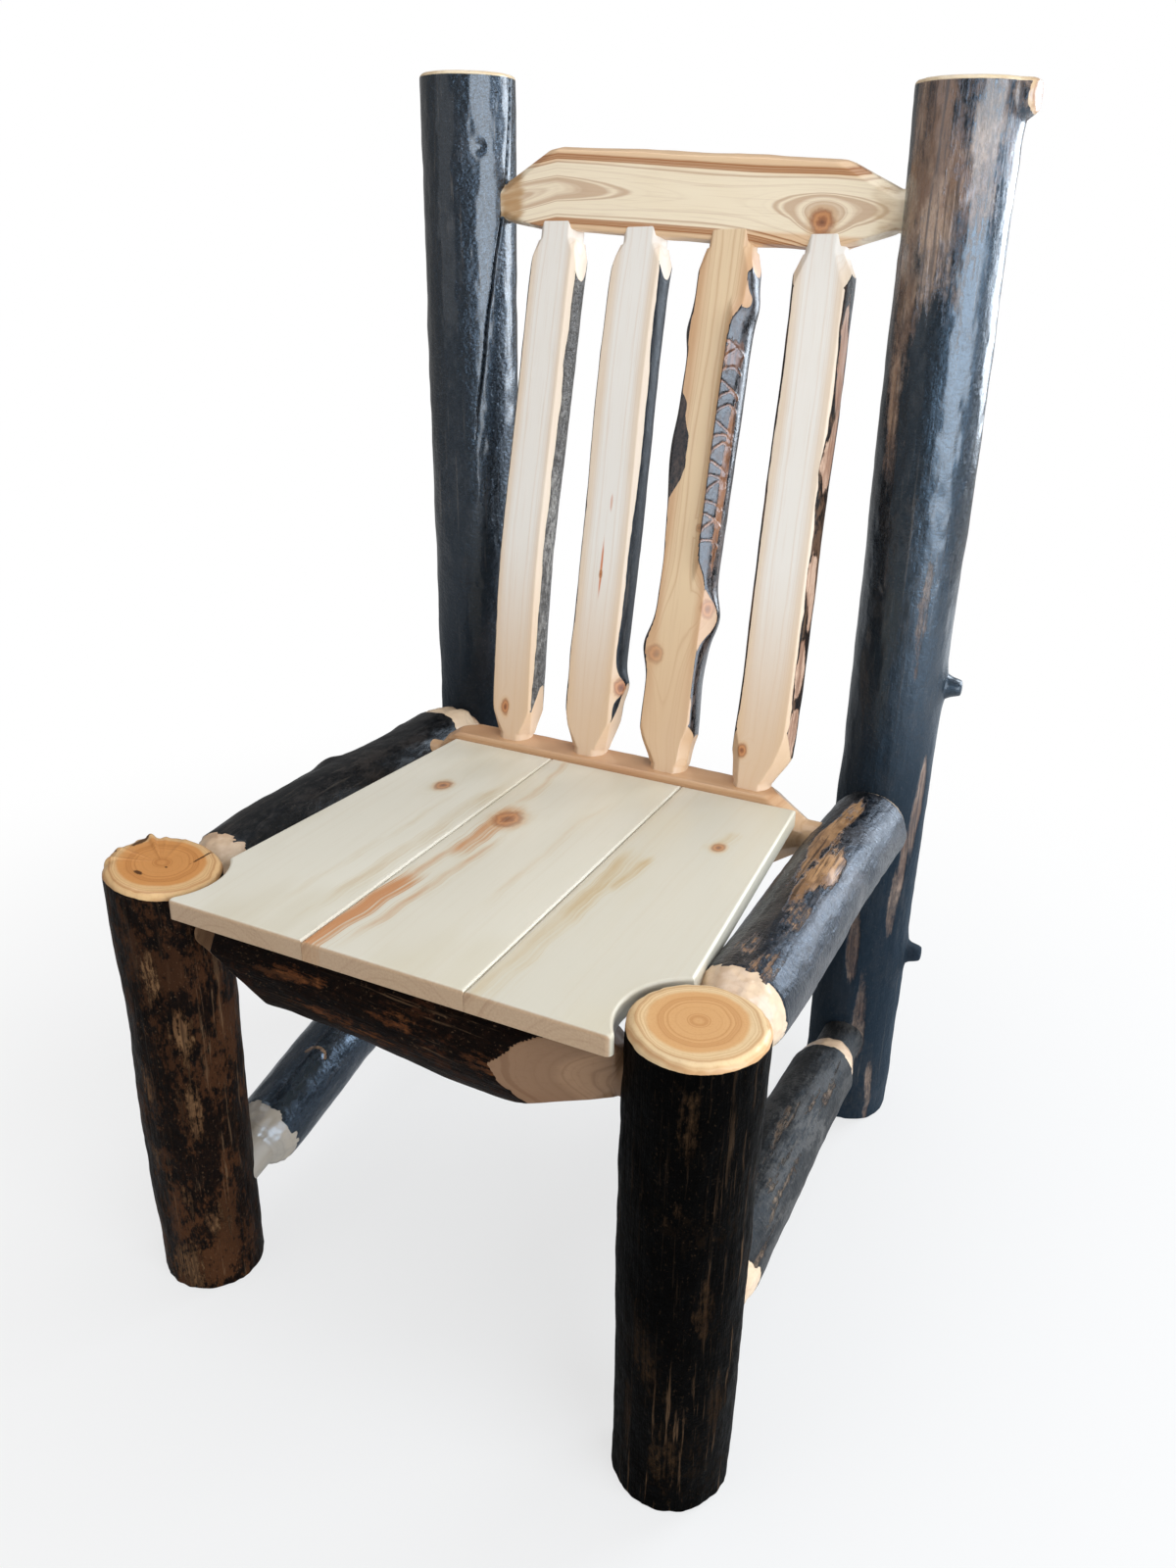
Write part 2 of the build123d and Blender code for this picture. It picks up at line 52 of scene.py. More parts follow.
SEAT_HEIGHT = 457.0
BOARD_THICKNESS = 18.0
SEAT_LENGTH = 431.0
FRONT_Y = -282.0
REAR_Y = 282.0
LEFT_LEG_X = -255.0
RIGHT_LEG_X = 259.0
LEFT_POST_X = -265.5
RIGHT_POST_X = 257.5
LEG_HEIGHT = SEAT_HEIGHT + 4
LEFT_POST_HEIGHT = 1130.0
RIGHT_POST_HEIGHT = 1110.0
FOOT_WEAR = 3.0
LEG_TOP_ROUNDING = 8.0
POST_TOP_ROUNDING = 4.0
TENON_RADIUS = 19.0
SLIM_TENON_RADIUS = 16.5                # of the back slats and the rear seat rail
FRONT_RAIL_DROPS = (46.0, 61.0)         # pith below the seat's top at the left and the right leg
LEFT_SIDE_RAIL_DROPS = (51.0, 49.0)     # the same at the front leg and the rear post
RIGHT_SIDE_RAIL_DROPS = (36.0, 52.0)
RIGHT_SIDE_RAIL_OFFSET = 6.0            # outward from the right post's axis
LEFT_STRETCHER_HEIGHTS = (102.0, 180.0)
LEFT_STRETCHER_OFFSET = 20.0            # towards the middle from the left leg's axis
RIGHT_STRETCHER_HEIGHTS = (143.0, 112.0)
CREST_DROPS = (120.0, 106.0)            # below the tops of the left and the right post
CREST_FLAT = 17.0                       # sawn face ahead of the crest rail's pith
SEAT_FRONT_Y = FRONT_Y - 43
SEAT_BACK_Y = SEAT_FRONT_Y + SEAT_LENGTH
REAR_RAIL_X = (-259.0, 262.0)           # where its pith meets the left and the right side rail
REAR_RAIL_Y = SEAT_BACK_Y + 16
REAR_RAIL_HEIGHT = SEAT_HEIGHT - 33
REAR_RAIL_TOP = SEAT_HEIGHT + 7
RABBET_GAP = 0.4                        # behind the boards' rear ends
SLAT_FOOT_PITCH = 93.3
SLAT_FOOT_SHIFT = 14.0                  # middle of the row of feet from the chair's middle
SLAT_FOOT_SETBACK = 26.5                # behind the boards' rear ends
SLAT_HEAD_PITCH = 96.3
SLAT_HEAD_SHIFT = -4.0
SLAT_HEAD_ADVANCE = 5.0                 # ahead of the crest's pith
SLAT_FLAT = 16.8                        # sawn face ahead of a slat's pith


# ---------------- noise

def lattice(x, y, z, seed):
    """A repeatable number from 0 to 1 at whole-number lattice points."""
    value = (x * 374761393 + y * 668265263 + z * 1442695041 + seed * 974634777) & 0xFFFFFFFF
    value = ((value ^ (value >> 13)) * 1274126177) & 0xFFFFFFFF
    return ((value ^ (value >> 16)) & 0xFFFF) / 65535


def noise(points, scale, seed):
    """Smooth noise from -1 to 1 whose bumps are about one scale apart."""
    place = points / scale
    cell = np.floor(place).astype(np.int64)
    blend = place - cell
    blend = blend * blend * (3 - 2 * blend)
    total = np.zeros(points.shape[:-1])
    for corner in np.ndindex(2, 2, 2):
        weight = 1.0
        for axis in range(3):
            weight = weight * (blend[..., axis] if corner[axis] else 1 - blend[..., axis])
        total += weight * lattice(*np.moveaxis(cell + corner, -1, 0), seed)
    return 2 * total - 1


def layered(points, scale, seed, layers=3):
    """Noise with finer and fainter layers on top."""
    return sum(noise(points, scale / 2**k, seed + k) / 2**k for k in range(layers))


def smooth_step(low, high, value):
    share = np.clip((value - low) / (high - low), 0, 1)
    return share * share * (3 - 2 * share)


def between(values, low, high, fade=25):
    """1 between low and high, falling smoothly to 0 outside."""
    above_low = smooth_step(low - fade, low + fade, values)
    return above_low * (1 - smooth_step(high - fade, high + fade, values))


def soft_min(a, b, softness):
    """The smaller of a and b, with the corner between them eased."""
    share = np.clip(0.5 + 0.5 * (b - a) / softness, 0, 1)
    return b * (1 - share) + a * share - softness * share * (1 - share)


def parabola(values, share):
    """Curve through three values, at the shares 0, 0.5 and 1."""
    start, middle, end = values
    return (
        start * (1 - share) * (1 - 2 * share)
        + middle * 4 * share * (1 - share)
        + end * share * (2 * share - 1)
    )


# ---------------- logs

CAP_SHARES = np.array((0.02, 0.2, 0.4, 0.6, 0.8, 0.93))     # rings that close an end, as shares of it
NO_LIMIT = 1e6                                              # a radius in mm that cuts nothing away


class Log:
    """A log's surface: radius, and what shows there, at each station along it and angle round it.

    Stations run along the pith from start (0) to end. Angles go round it: from "side" (0 degrees)
    through "up" (90 degrees), where side is up x along.
    """

    def __init__(self, name, start, end, radii, seed, up=(0, 0, 1), low=0.0, high=0.0,
                 columns=160, step=2.5, extra=()):
        self.name = name
        self.seed = seed
        self.start = np.array(start, float)
        run = np.array(end, float) - self.start
        self.length = np.linalg.norm(run)
        self.along = run / self.length
        side = np.cross(np.array(up, float), self.along)
        self.side = side / np.linalg.norm(side)
        self.up = np.cross(self.along, self.side)
        stations = np.concatenate((np.arange(low, self.length + high, step), [self.length + high], extra))
        angles = np.linspace(-math.pi, math.pi, columns, endpoint=False)
        self.station, self.angle = np.meshgrid(np.unique(stations), angles, indexing="ij")
        self.share = np.clip(self.station / self.length, 0, 1)
        self.radius = parabola(radii, self.share)
        self.round = self.point_on(self.radius.mean())
        self.masks = {
            "wood": np.zeros_like(self.radius),        # bare wood, where the bark is cut away
            "peel": np.zeros_like(self.radius),        # brown under-bark, where the bark is scraped
            # The stain mask also carries painted shade on the crest's hewn ends.
            "stain": np.zeros_like(self.radius),       # resin and weather stains in bare wood
            "knot": np.full_like(self.radius, 9.0),    # distance from a knot, in knot radii
            "swirl": np.zeros_like(self.radius),       # how far growth rings bend outward, in metres
        }
        self.lift = np.zeros_like(self.radius)
        self.bend = np.zeros(self.radius.shape + (2,))

    def point_on(self, radius):
        """Points in the log's own axes (side, up, along)."""
        return np.stack((radius * np.cos(self.angle), radius * np.sin(self.angle), self.station), -1)

    def stretched(self, share):
        """Points on the round log, squeezed along it, which draws noise out along it."""
        return self.round * np.array((1, 1, share))

    def turn_from(self, degrees):
        """Angle from a direction, from -pi to pi."""
        turn = self.angle - math.radians(degrees)
        return (turn + math.pi) % (2 * math.pi) - math.pi

    def away_from(self, station, degrees, half_length, half_width):
        """Distance from a spot, in units of its half length and half width in mm."""
        along = (self.station - station) / half_length
        across = self.turn_from(degrees) * self.radius / half_width
        return np.hypot(along, across)

    def cover(self, mask, amount):
        self.masks[mask] = np.maximum(self.masks[mask], amount)

    def near_knot(self, distance):
        self.masks["knot"] = np.minimum(self.masks["knot"], distance)

    def strip(self):
        """Takes the bark off all over."""
        self.masks["wood"][:] = 1.0

    def roughen(self, sway, swell, lumps, flakes):
        """The shape of a grown log: crooked, not quite round, with lumps and flakes of bark."""
        free = np.sin(math.pi * self.share)
        for axis in range(2):
            wave = np.sin(2 * math.pi * self.share * (0.8 + 0.35 * axis) + self.seed * (1.7 + axis))
            self.bend[..., axis] += sway * free * wave
        self.radius += swell * noise(self.stretched(0.45), 75, self.seed)
        self.radius += lumps * layered(self.stretched(0.5), 26, self.seed + 10, 3)
        self.radius += flakes * layered(self.stretched(0.35), 7, self.seed + 20, 2)

    def swell(self, station, degrees, half_length, half_width, height):
        """Rounded lump, or a dent where the height is negative."""
        distance = self.away_from(station, degrees, half_length, half_width)
        self.radius += height * np.exp(-1.4 * distance**2)

    def add_knot(self, station, degrees, size, height=0.0):
        self.near_knot(self.away_from(station, degrees, size * 1.25, size))
        if height:
            self.swell(station, degrees, size * 1.5, size * 1.3, height)

    def stub(self, station, degrees, size, reach, sawn=False):
        """A cut branch that stands out of the bark; a sawn one shows pale wood."""
        distance = self.away_from(station, degrees, size, size)
        self.radius += reach * (1 - smooth_step(0.7, 1.3, distance))
        self.radius += 0.3 * reach * np.exp(-distance**2 / 3)
        if sawn:
            self.cover("wood", 1 - smooth_step(0.75, 1.05, distance))
        self.near_knot(distance * (1.5 if sawn else 0.8))

    def peel_patch(self, station, degrees, half_length, half_width, strength=1.0,
                   depth=0.6, fade=0.3, wander=0.3):
        """Bark scraped away to the brown under-bark. A large fade frays it into streaks."""
        distance = self.away_from(station, degrees, half_length, half_width)
        ragged = distance + wander * layered(self.stretched(0.3), 18, self.seed + 30, 3)
        bare = strength * (1 - smooth_step(1 - fade, 1 + fade, ragged))
        self.radius -= depth * np.maximum(bare - self.masks["peel"], 0)
        self.cover("peel", bare)

    def peel_patches(self, patches, **edge):
        """Scraped patches that share a kind of edge."""
        for patch in patches:
            self.peel_patch(*patch, **edge)

    def stain_and_shade_spot(self, station, degrees, half_length, half_width, strength):
        # Darkens bare wood round a spot: a stain, which on the crest's hewn ends is also painted shade.
        distance = self.away_from(station, degrees, half_length, half_width)
        ragged = distance + 0.25 * layered(self.stretched(0.2), 12, self.seed + 35, 2)
        self.cover("stain", strength * (1 - smooth_step(0.3, 1.2, ragged)))

    def bend_rings(self, station, degrees, half_length, half_width, amount):
        """Pushes the growth rings out round a spot, which draws arches on a sawn face."""
        distance = self.away_from(station, degrees, half_length, half_width)
        self.masks["swirl"] += amount * MM * np.exp(-distance**2)

    def split(self, stations, degrees, width, depth):
        """A drying crack that follows the given stations and angles and opens towards the last."""
        path = np.interp(self.station[:, 0], stations, np.radians(degrees))[:, None]
        inside = (self.station >= min(stations)) & (self.station <= max(stations))
        taper = np.interp(self.station, (min(stations), min(stations) + 60), (0, 1))
        wander = 0.012 * noise(self.round * np.array((0, 0, 1)), 22, self.seed + 40)
        across = np.abs(self.angle - path - wander) * self.radius
        half = width / 2 * taper + 0.01
        self.radius -= depth * inside * taper * (1 - smooth_step(0.5, 1.0, across / half))

    def groove(self, path, width, depth):
        """A scraped groove along (station, degrees) points, or a ridge where the depth is negative."""
        girth = self.radius.mean()
        here = np.stack((self.station, self.angle * girth), -1)
        corners = [np.array((station, math.radians(degrees) * girth)) for station, degrees in path]
        nearest = np.full_like(self.radius, NO_LIMIT)
        for start, end in zip(corners, corners[1:]):
            run = end - start
            share = np.clip((here - start) @ run / (run @ run), 0, 1)
            away = np.linalg.norm(here - start - share[..., None] * run, axis=-1)
            nearest = np.minimum(nearest, away)
        within = 1 - smooth_step(0.25 * width, 0.75 * width, nearest)
        self.radius -= depth * within
        self.cover("peel", within)

    def cut(self, limit, softness):
        """Cuts the log down to a radius given at every point; what is cut shows bare wood."""
        before = self.radius
        self.radius = soft_min(before, limit, softness)
        self.cover("wood", smooth_step(0.1, 0.8, before - limit))

    def flat(self, degrees, distance, softness=1.0):
        """Planes the log off at a distance from the pith, which may change along it."""
        facing = np.cos(self.turn_from(degrees))
        self.cut(np.where(facing > 0.05, distance / np.maximum(facing, 0.05), NO_LIMIT), softness)

    def from_end(self, shoulder, at_end):
        """Distance from a tenon's shoulder towards the log's middle."""
        return (self.length - shoulder - self.station) if at_end else (self.station - shoulder)

    def hew_round(self, shoulder, length, tenon, full, at_end=False, marks=0.9):
        """Hewn end: rises from the tenon to the bark like a blunt dome, with knife marks."""
        share = self.from_end(shoulder, at_end) / length
        share = share + 0.16 * layered(self.stretched(0.2), 24, self.seed + 52, 2)
        inside = np.clip(share, 0, 1)
        rise = 0.6 * np.sqrt(1 - (1 - inside) ** 2) + 0.4 * inside
        limit = tenon + (full - tenon) * rise + np.maximum(share - 1, 0) * 60
        limit += marks * noise(self.stretched(1.8), 6.5, self.seed + 50) * (inside > 0)
        limit += 1.6 * noise(self.round, 34, self.seed + 51) * inside
        self.cut(np.where(share > 0, limit, tenon), 0.8)

    def hew_facets(self, shoulder, length, tenon, full, turns, at_end=False):
        """Hewn end of drawknife flats: each plane rises from the tenon out to the bark."""
        away = self.from_end(shoulder, at_end)
        for index, degrees in enumerate(turns):
            spread = 1 + 0.34 * math.sin(3.1 * index + self.seed)
            distance = tenon + (full - tenon) * np.maximum(away, 0) / (length * spread)
            distance += 0.35 * noise(self.round, 14, self.seed + 60 + index)
            self.flat(degrees, distance, 0.8)
        self.cut(np.where(away > 0, NO_LIMIT, tenon), 0.8)

    def slope_top(self, degrees, toward):
        """Tilts the sawn top of a standing log, so that it is low at the angle toward."""
        near_top = smooth_step(self.length - 70, self.length, self.station)
        slope = math.tan(math.radians(degrees))
        self.lift -= near_top * slope * self.radius * np.cos(self.turn_from(toward))

    def chip_top(self, degrees, half_width, depth, rise):
        """Splintered rim: the edge is torn away in places and a few shards stand up."""
        near_top = smooth_step(self.length - 9, self.length, self.station)
        beside = np.exp(-(self.turn_from(degrees) * self.radius / half_width) ** 2)
        torn = noise(self.stretched(0), 6, self.seed + 75)
        self.radius -= near_top * beside * depth * smooth_step(-0.2, 0.6, torn)
        self.lift += near_top * beside * rise * smooth_step(0.1, 0.7, -torn)

    def round_over(self, rounding, at_end=True, chips=0.0):
        """Rounds the edge of a sawn end, and gives back how far each point is into the rounding."""
        inside = self.length - self.station if at_end else self.station
        depth = np.clip(1 - inside / rounding, 0, 1)
        drop = rounding * (1 - np.sqrt(np.clip(1 - depth**2, 0, 1)))
        self.radius -= drop + chips * depth * layered(self.stretched(0), 9, self.seed + 70, 2)
        return depth

    def build(self, material, slot):
        """Makes the visible piece: the rings, and two ends closed by narrower rings."""
        local = self.point_on(self.radius)
        local[..., 2] += self.lift
        placed = local.copy()
        placed[..., :2] += self.bend
        local = with_caps(local)
        world = self.start + with_caps(placed) @ np.array((self.side, self.up, self.along))
        mesh = ring_mesh(self.name, world * MM)
        grain = mesh.attributes.new("grain", "FLOAT_VECTOR", "POINT")
        grain.data.foreach_set("vector", (local * MM).astype(np.float32).ravel())
        caps = len(CAP_SHARES)
        for key, values in self.masks.items():
            full = np.pad(values, ((caps, caps), (0, 0)), mode="edge")
            if key == "wood":
                full[:caps] = 1.0
                full[-caps:] = 1.0
            layer = mesh.attributes.new(key, "FLOAT", "POINT")
            layer.data.foreach_set("value", full.astype(np.float32).ravel())
        mesh.materials.append(material)
        piece = bpy.data.objects.new(self.name, mesh)
        bpy.context.scene.collection.objects.link(piece)
        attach(piece, "root")
        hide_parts(self.name.removesuffix("_look"))


def with_caps(grid):
    """The grid with ever narrower rings before its first ring and after its last."""
    caps = []
    for ring in (grid[0], grid[-1]):
        middle = ring.mean(axis=0)
        caps.append(middle + (ring - middle) * CAP_SHARES[:, None, None])
    return np.concatenate((caps[0], grid, caps[1][::-1]))


def ring_mesh(name, points):
    """Smooth mesh of four-sided faces between rings of points, with one face across each end."""
    rows, columns = points.shape[:2]
    row, column = np.meshgrid(np.arange(rows - 1), np.arange(columns), indexing="ij")
    beside = (column + 1) % columns
    corners = (row * columns + column, row * columns + beside,
               (row + 1) * columns + beside, (row + 1) * columns + column)
    quads = np.stack(corners, -1).reshape(-1)
    last_ring = (rows - 1) * columns + np.arange(columns)
    loops = np.concatenate((quads, np.arange(columns)[::-1], last_ring))
    starts = np.concatenate((np.arange(0, len(quads), 4), [len(quads), len(quads) + columns]))
    mesh = bpy.data.meshes.new(name)
    mesh.vertices.add(rows * columns)
    mesh.vertices.foreach_set("co", points.astype(np.float32).ravel())
    mesh.loops.add(len(loops))
    mesh.loops.foreach_set("vertex_index", loops.astype(np.int32))
    mesh.polygons.add(len(starts))
    mesh.polygons.foreach_set("loop_start", starts.astype(np.int32))
    mesh.update(calc_edges=True)
    mesh.validate()
    mesh.polygons.foreach_set("use_smooth", np.ones(len(starts), bool))
    return mesh


# ---------------- material nodes

WHITE = (1, 1, 1, 1)


def colour(red, green, blue):
    """Linear colour from the 0 to 255 values of a screen colour."""
    return tuple((value / 255) ** 2.2 for value in (red, green, blue)) + (1.0,)


class Shader:
    """A material whose nodes are added by short calls. Inputs are sockets, numbers or colours."""

    def __init__(self, name):
        self.material = bpy.data.materials.new(name)
        self.material.use_nodes = True
        self.tree = self.material.node_tree
        self.surface = self.tree.nodes["Principled BSDF"]

    def put(self, socket, value):
        if isinstance(value, bpy.types.NodeSocket):
            self.tree.links.new(value, socket)
        else:
            socket.default_value = value

    def add(self, kind, inputs, output=0, **settings):
        node = self.tree.nodes.new("ShaderNode" + kind)
        for key, value in settings.items():
            setattr(node, key, value)
        for key, value in inputs.items():
            self.put(node.inputs[key], value)
        return node.outputs[output]

    def attribute(self, name, output="Fac"):
        return self.add("Attribute", {}, output, attribute_name=name)

    def place(self):
        """The point in its object's own axes."""
        return self.add("TexCoord", {}, "Object")

    def moved(self, vector, *origin):
        return self.add("VectorMath", {0: vector, 1: origin}, operation="SUBTRACT")

    def scaled(self, vector, *scale):
        return self.add("VectorMath", {0: vector, 1: scale}, operation="MULTIPLY")

    def parts(self, vector):
        """The three numbers of a vector."""
        node = self.tree.nodes.new("ShaderNodeSeparateXYZ")
        self.put(node.inputs[0], vector)
        return node.outputs

    def length(self, vector):
        return self.add("VectorMath", {0: vector}, "Value", operation="LENGTH")

    def noise(self, vector, scale, detail=4.0, roughness=0.55, distortion=0.0):
        inputs = {"Vector": vector, "Scale": scale, "Detail": detail, "Roughness": roughness,
                  "Distortion": distortion}
        return self.add("TexNoise", inputs)

    def drawn(self, grain, share, *settings):
        """Noise drawn out along the log: the smaller the share, the longer its streaks."""
        return self.noise(self.scaled(grain, 1, 1, share), *settings)

    def line_noise(self, value, scale, detail=3.0, roughness=0.6):
        """Noise that depends on one number alone."""
        inputs = {"W": value, "Scale": scale, "Detail": detail, "Roughness": roughness}
        return self.add("TexNoise", inputs, noise_dimensions="1D")

    def math(self, operation, *values):
        return self.add("Math", dict(enumerate(values)), operation=operation)

    def times(self, a, b):
        return self.math("MULTIPLY", a, b)

    def plus(self, a, b):
        return self.math("ADD", a, b)

    def minus(self, a, b):
        return self.math("SUBTRACT", a, b)

    def plus_times(self, value, factor, other):
        """The other number plus the value times the factor."""
        return self.math("MULTIPLY_ADD", value, factor, other)

    def offset(self, value, size):
        """Noise value centred on zero and scaled."""
        return self.plus_times(value, size, -size / 2)

    def step(self, value, low, high, to_low=0.0, to_high=1.0):
        inputs = {"Value": value, "From Min": low, "From Max": high, "To Min": to_low, "To Max": to_high}
        return self.add("MapRange", inputs, interpolation_type="SMOOTHSTEP")

    def ramp(self, value, *stops):
        """Colour ramp through (position, colour) stops."""
        node = self.tree.nodes.new("ShaderNodeValToRGB")
        elements = node.color_ramp.elements
        while len(elements) < len(stops):
            elements.new(1.0)
        for element, (position, shade) in zip(elements, stops):
            element.position = position
            element.color = shade
        self.put(node.inputs[0], value)
        return node.outputs[0]

    def mix(self, share, a, b):
        """Blend of two colours."""
        return self.add("Mix", {0: share, 6: a, 7: b}, 2, data_type="RGBA")

    def blend(self, share, a, b):
        """Blend of two numbers."""
        return self.add("Mix", {0: share, 2: a, 3: b}, 0, data_type="FLOAT")

    def finish(self, base, roughness, height, depth, specular=0.5, tint=WHITE, ior=1.5):
        bump = self.add("Bump", {"Height": height, "Distance": depth, "Strength": 1.0})
        for socket, value in (
            ("Base Color", base), ("Roughness", roughness), ("Normal", bump),
            ("Specular IOR Level", specular), ("Specular Tint", tint), ("IOR", ior),
        ):
            self.put(self.surface.inputs[socket], value)
        return self.material


# ---------------- bare wood

PALE_WOOD = {
    "heart": colour(230, 206, 170), "sap": colour(232, 208, 170), "sap_from": 0.03, "sap_blend": 0.004,
    "cloud_colour": colour(214, 180, 142), "cloud": 0.6, "cloud_scale": 12, "fibre": 0.18,
    "ring_colour": colour(176, 126, 82), "ring": 0.4, "ring_rate": 170, "ring_range": (0.48, 0.72),
    "sweep": 0.18, "drift": 0.012, "drift_scale": 16, "ripple": 0.002, "knot_share": 0.9, "pits": (),
    "stain": colour(176, 108, 58), "smudge": 1.1, "smudge_from": 0.3, "roughness": 0.4, "varnish": 0.4,
}


def growth_rings(shader, grain, knot, swirl, look):
    """Share of dark ring wood, and share of the sapwood outside the heartwood."""
    near_knot = shader.step(knot, 0.8, 3.5, 1.0, 0.0)
    drawn_out = shader.scaled(grain, 1, 1, look["sweep"])
    drift = shader.noise(drawn_out, look["drift_scale"], 2.0, 0.5)
    ripple = shader.noise(drawn_out, 70, 3.0, 0.5)
    radius = shader.length(shader.scaled(grain, 1, 1, 0))
    bent = shader.plus_times(drift, look["drift"], radius)
    bent = shader.plus_times(ripple, look["ripple"], bent)
    bent = shader.plus_times(near_knot, -0.007, bent)
    rings = shader.line_noise(shader.minus(bent, swirl), look["ring_rate"], 3.0, 0.65)
    heart_edge = shader.plus_times(shader.noise(drawn_out, 30, 2.0), 0.006, radius)
    sap_from = look["sap_from"] + 0.003
    sap = shader.step(heart_edge, sap_from, sap_from + look["sap_blend"])
    return shader.step(rings, *look["ring_range"]), sap


def add_stains(shader, grain, base, stain, look):
    """Resin and weather smudges, in the pale stain's colour where they are weak."""
    smudge = shader.drawn(grain, 0.12, 130, 4.0, 0.6)
    smudged = shader.plus(shader.offset(smudge, look["smudge"]), stain)
    stained = shader.step(smudged, look["smudge_from"], 0.95)
    stain_colour = shader.mix(stained, look.get("pale_stain", look["stain"]), look["stain"])
    return shader.mix(shader.times(stained, 0.92), base, stain_colour)


def add_knots(shader, grain, base, knot, look):
    """Ringed knots, darkest in the middle and near the rim."""
    wobbly = shader.plus(shader.offset(shader.noise(grain, 150, 3.0), 0.7), knot)
    knot_wood = shader.ramp(
        shader.times(wobbly, 0.5),
        (0.04, colour(92, 48, 26)), (0.2, colour(160, 94, 54)), (0.34, colour(198, 134, 84)),
        (0.48, colour(156, 96, 56)), (0.72, colour(212, 168, 122)),
    )
    knot_ring = shader.step(shader.line_noise(wobbly, 4.0), 0.5, 0.62, 0.0, 0.45)
    knot_wood = shader.mix(knot_ring, knot_wood, colour(140, 80, 42))
    return shader.mix(shader.step(wobbly, 0.7, 2.0, look["knot_share"], 0.0), base, knot_wood)


def add_pit(shader, grain, base, side, up, half_width, half_height):
    """Dark ragged hole in a sawn end."""
    beside = shader.moved(grain, side * MM, up * MM, 0)
    away = shader.length(shader.scaled(beside, 1 / (half_width * MM), 1 / (half_height * MM), 0))
    away = shader.plus(shader.offset(shader.noise(grain, 260, 3.0), 1.1), away)
    return shader.mix(shader.step(away, 0.6, 1.1, 0.9, 0.0), base, colour(62, 36, 20))


def bare_wood(shader, grain, knot, swirl, stain, look):
    """Colour and height of bare wood: rings round the pith, fibres along the log, stains, knots."""
    ring, sap = growth_rings(shader, grain, knot, swirl, look)
    base = shader.mix(sap, look["heart"], look["sap"])
    cloud = shader.drawn(grain, 0.3, look["cloud_scale"], 3.0)
    base = shader.mix(shader.step(cloud, 0.45, 0.7, 0.0, look["cloud"]), base, look["cloud_colour"])
    ring_share = shader.blend(sap, look["ring"], look.get("sap_ring", look["ring"]))
    base = shader.mix(shader.times(ring, ring_share), base, look["ring_colour"])
    fibre = shader.drawn(grain, 0.03, 520, 3.0, 0.6)
    base = shader.mix(shader.step(fibre, 0.5, 0.78, 0.0, look["fibre"]), base, look["ring_colour"])
    if "foot" in look:
        near_foot = shader.step(shader.parts(grain)[2], 0.02, 0.24, 0.75, 0.0)
        base = shader.mix(near_foot, base, look["foot"])
    base = add_stains(shader, grain, base, stain, look)
    base = add_knots(shader, grain, base, knot, look)
    for pit in look["pits"]:
        base = add_pit(shader, grain, base, *pit)
    return base, shader.plus_times(ring, 0.35, shader.times(fibre, 0.5))


# ---------------- bark

BROWN_BARK = {
    "dark": colour(15, 9, 6), "mid": colour(36, 23, 15), "light": colour(88, 58, 37),
    "patch": 0.85, "patch_range": (0.49, 0.6), "patch_scale": 24,
    "fleck_colour": colour(136, 106, 80), "fleck": 0.5, "speck": 0.35,
    "under": colour(88, 62, 43), "under_light": colour(118, 88, 62), "under_dark": colour(46, 33, 25),
    "peel_edge": (0.42, 0.62), "smooth": 0.42, "rough": 0.6, "varnish": 0.0, "specular": 0.06,
    "tint": WHITE, "ior": 1.5, "pebble": 0.3, "fibre": 1.5, "relief": 0.0009,
}


def bark_colour(shader, grain, fine, patches, streaks, bark):
    """Dark bark with paler patches, long flecks, broad shades and small scales."""
    broad = shader.drawn(grain, 0.4, 8, 3.0, 0.5)
    scales = shader.drawn(grain, 0.7, 420, 2.0, 0.6)
    mottled = shader.plus(shader.offset(fine, 0.5), patches)
    base = shader.mix(shader.step(fine, 0.36, 0.66), bark["dark"], bark["mid"])
    base = shader.mix(shader.step(mottled, *bark["patch_range"], 0.0, bark["patch"]), base, bark["light"])
    flecks = shader.times(shader.step(streaks, 0.57, 0.68), shader.step(broad, 0.4, 0.6, 0.25, 1.0))
    base = shader.mix(shader.times(flecks, bark["fleck"]), base, bark["fleck_colour"])
    base = shader.mix(shader.step(broad, 0.4, 0.62, 0.45, 0.0), base, bark["dark"])
    return shader.mix(shader.step(scales, 0.62, 0.72, 0.0, bark["speck"]), base, bark["fleck_colour"])


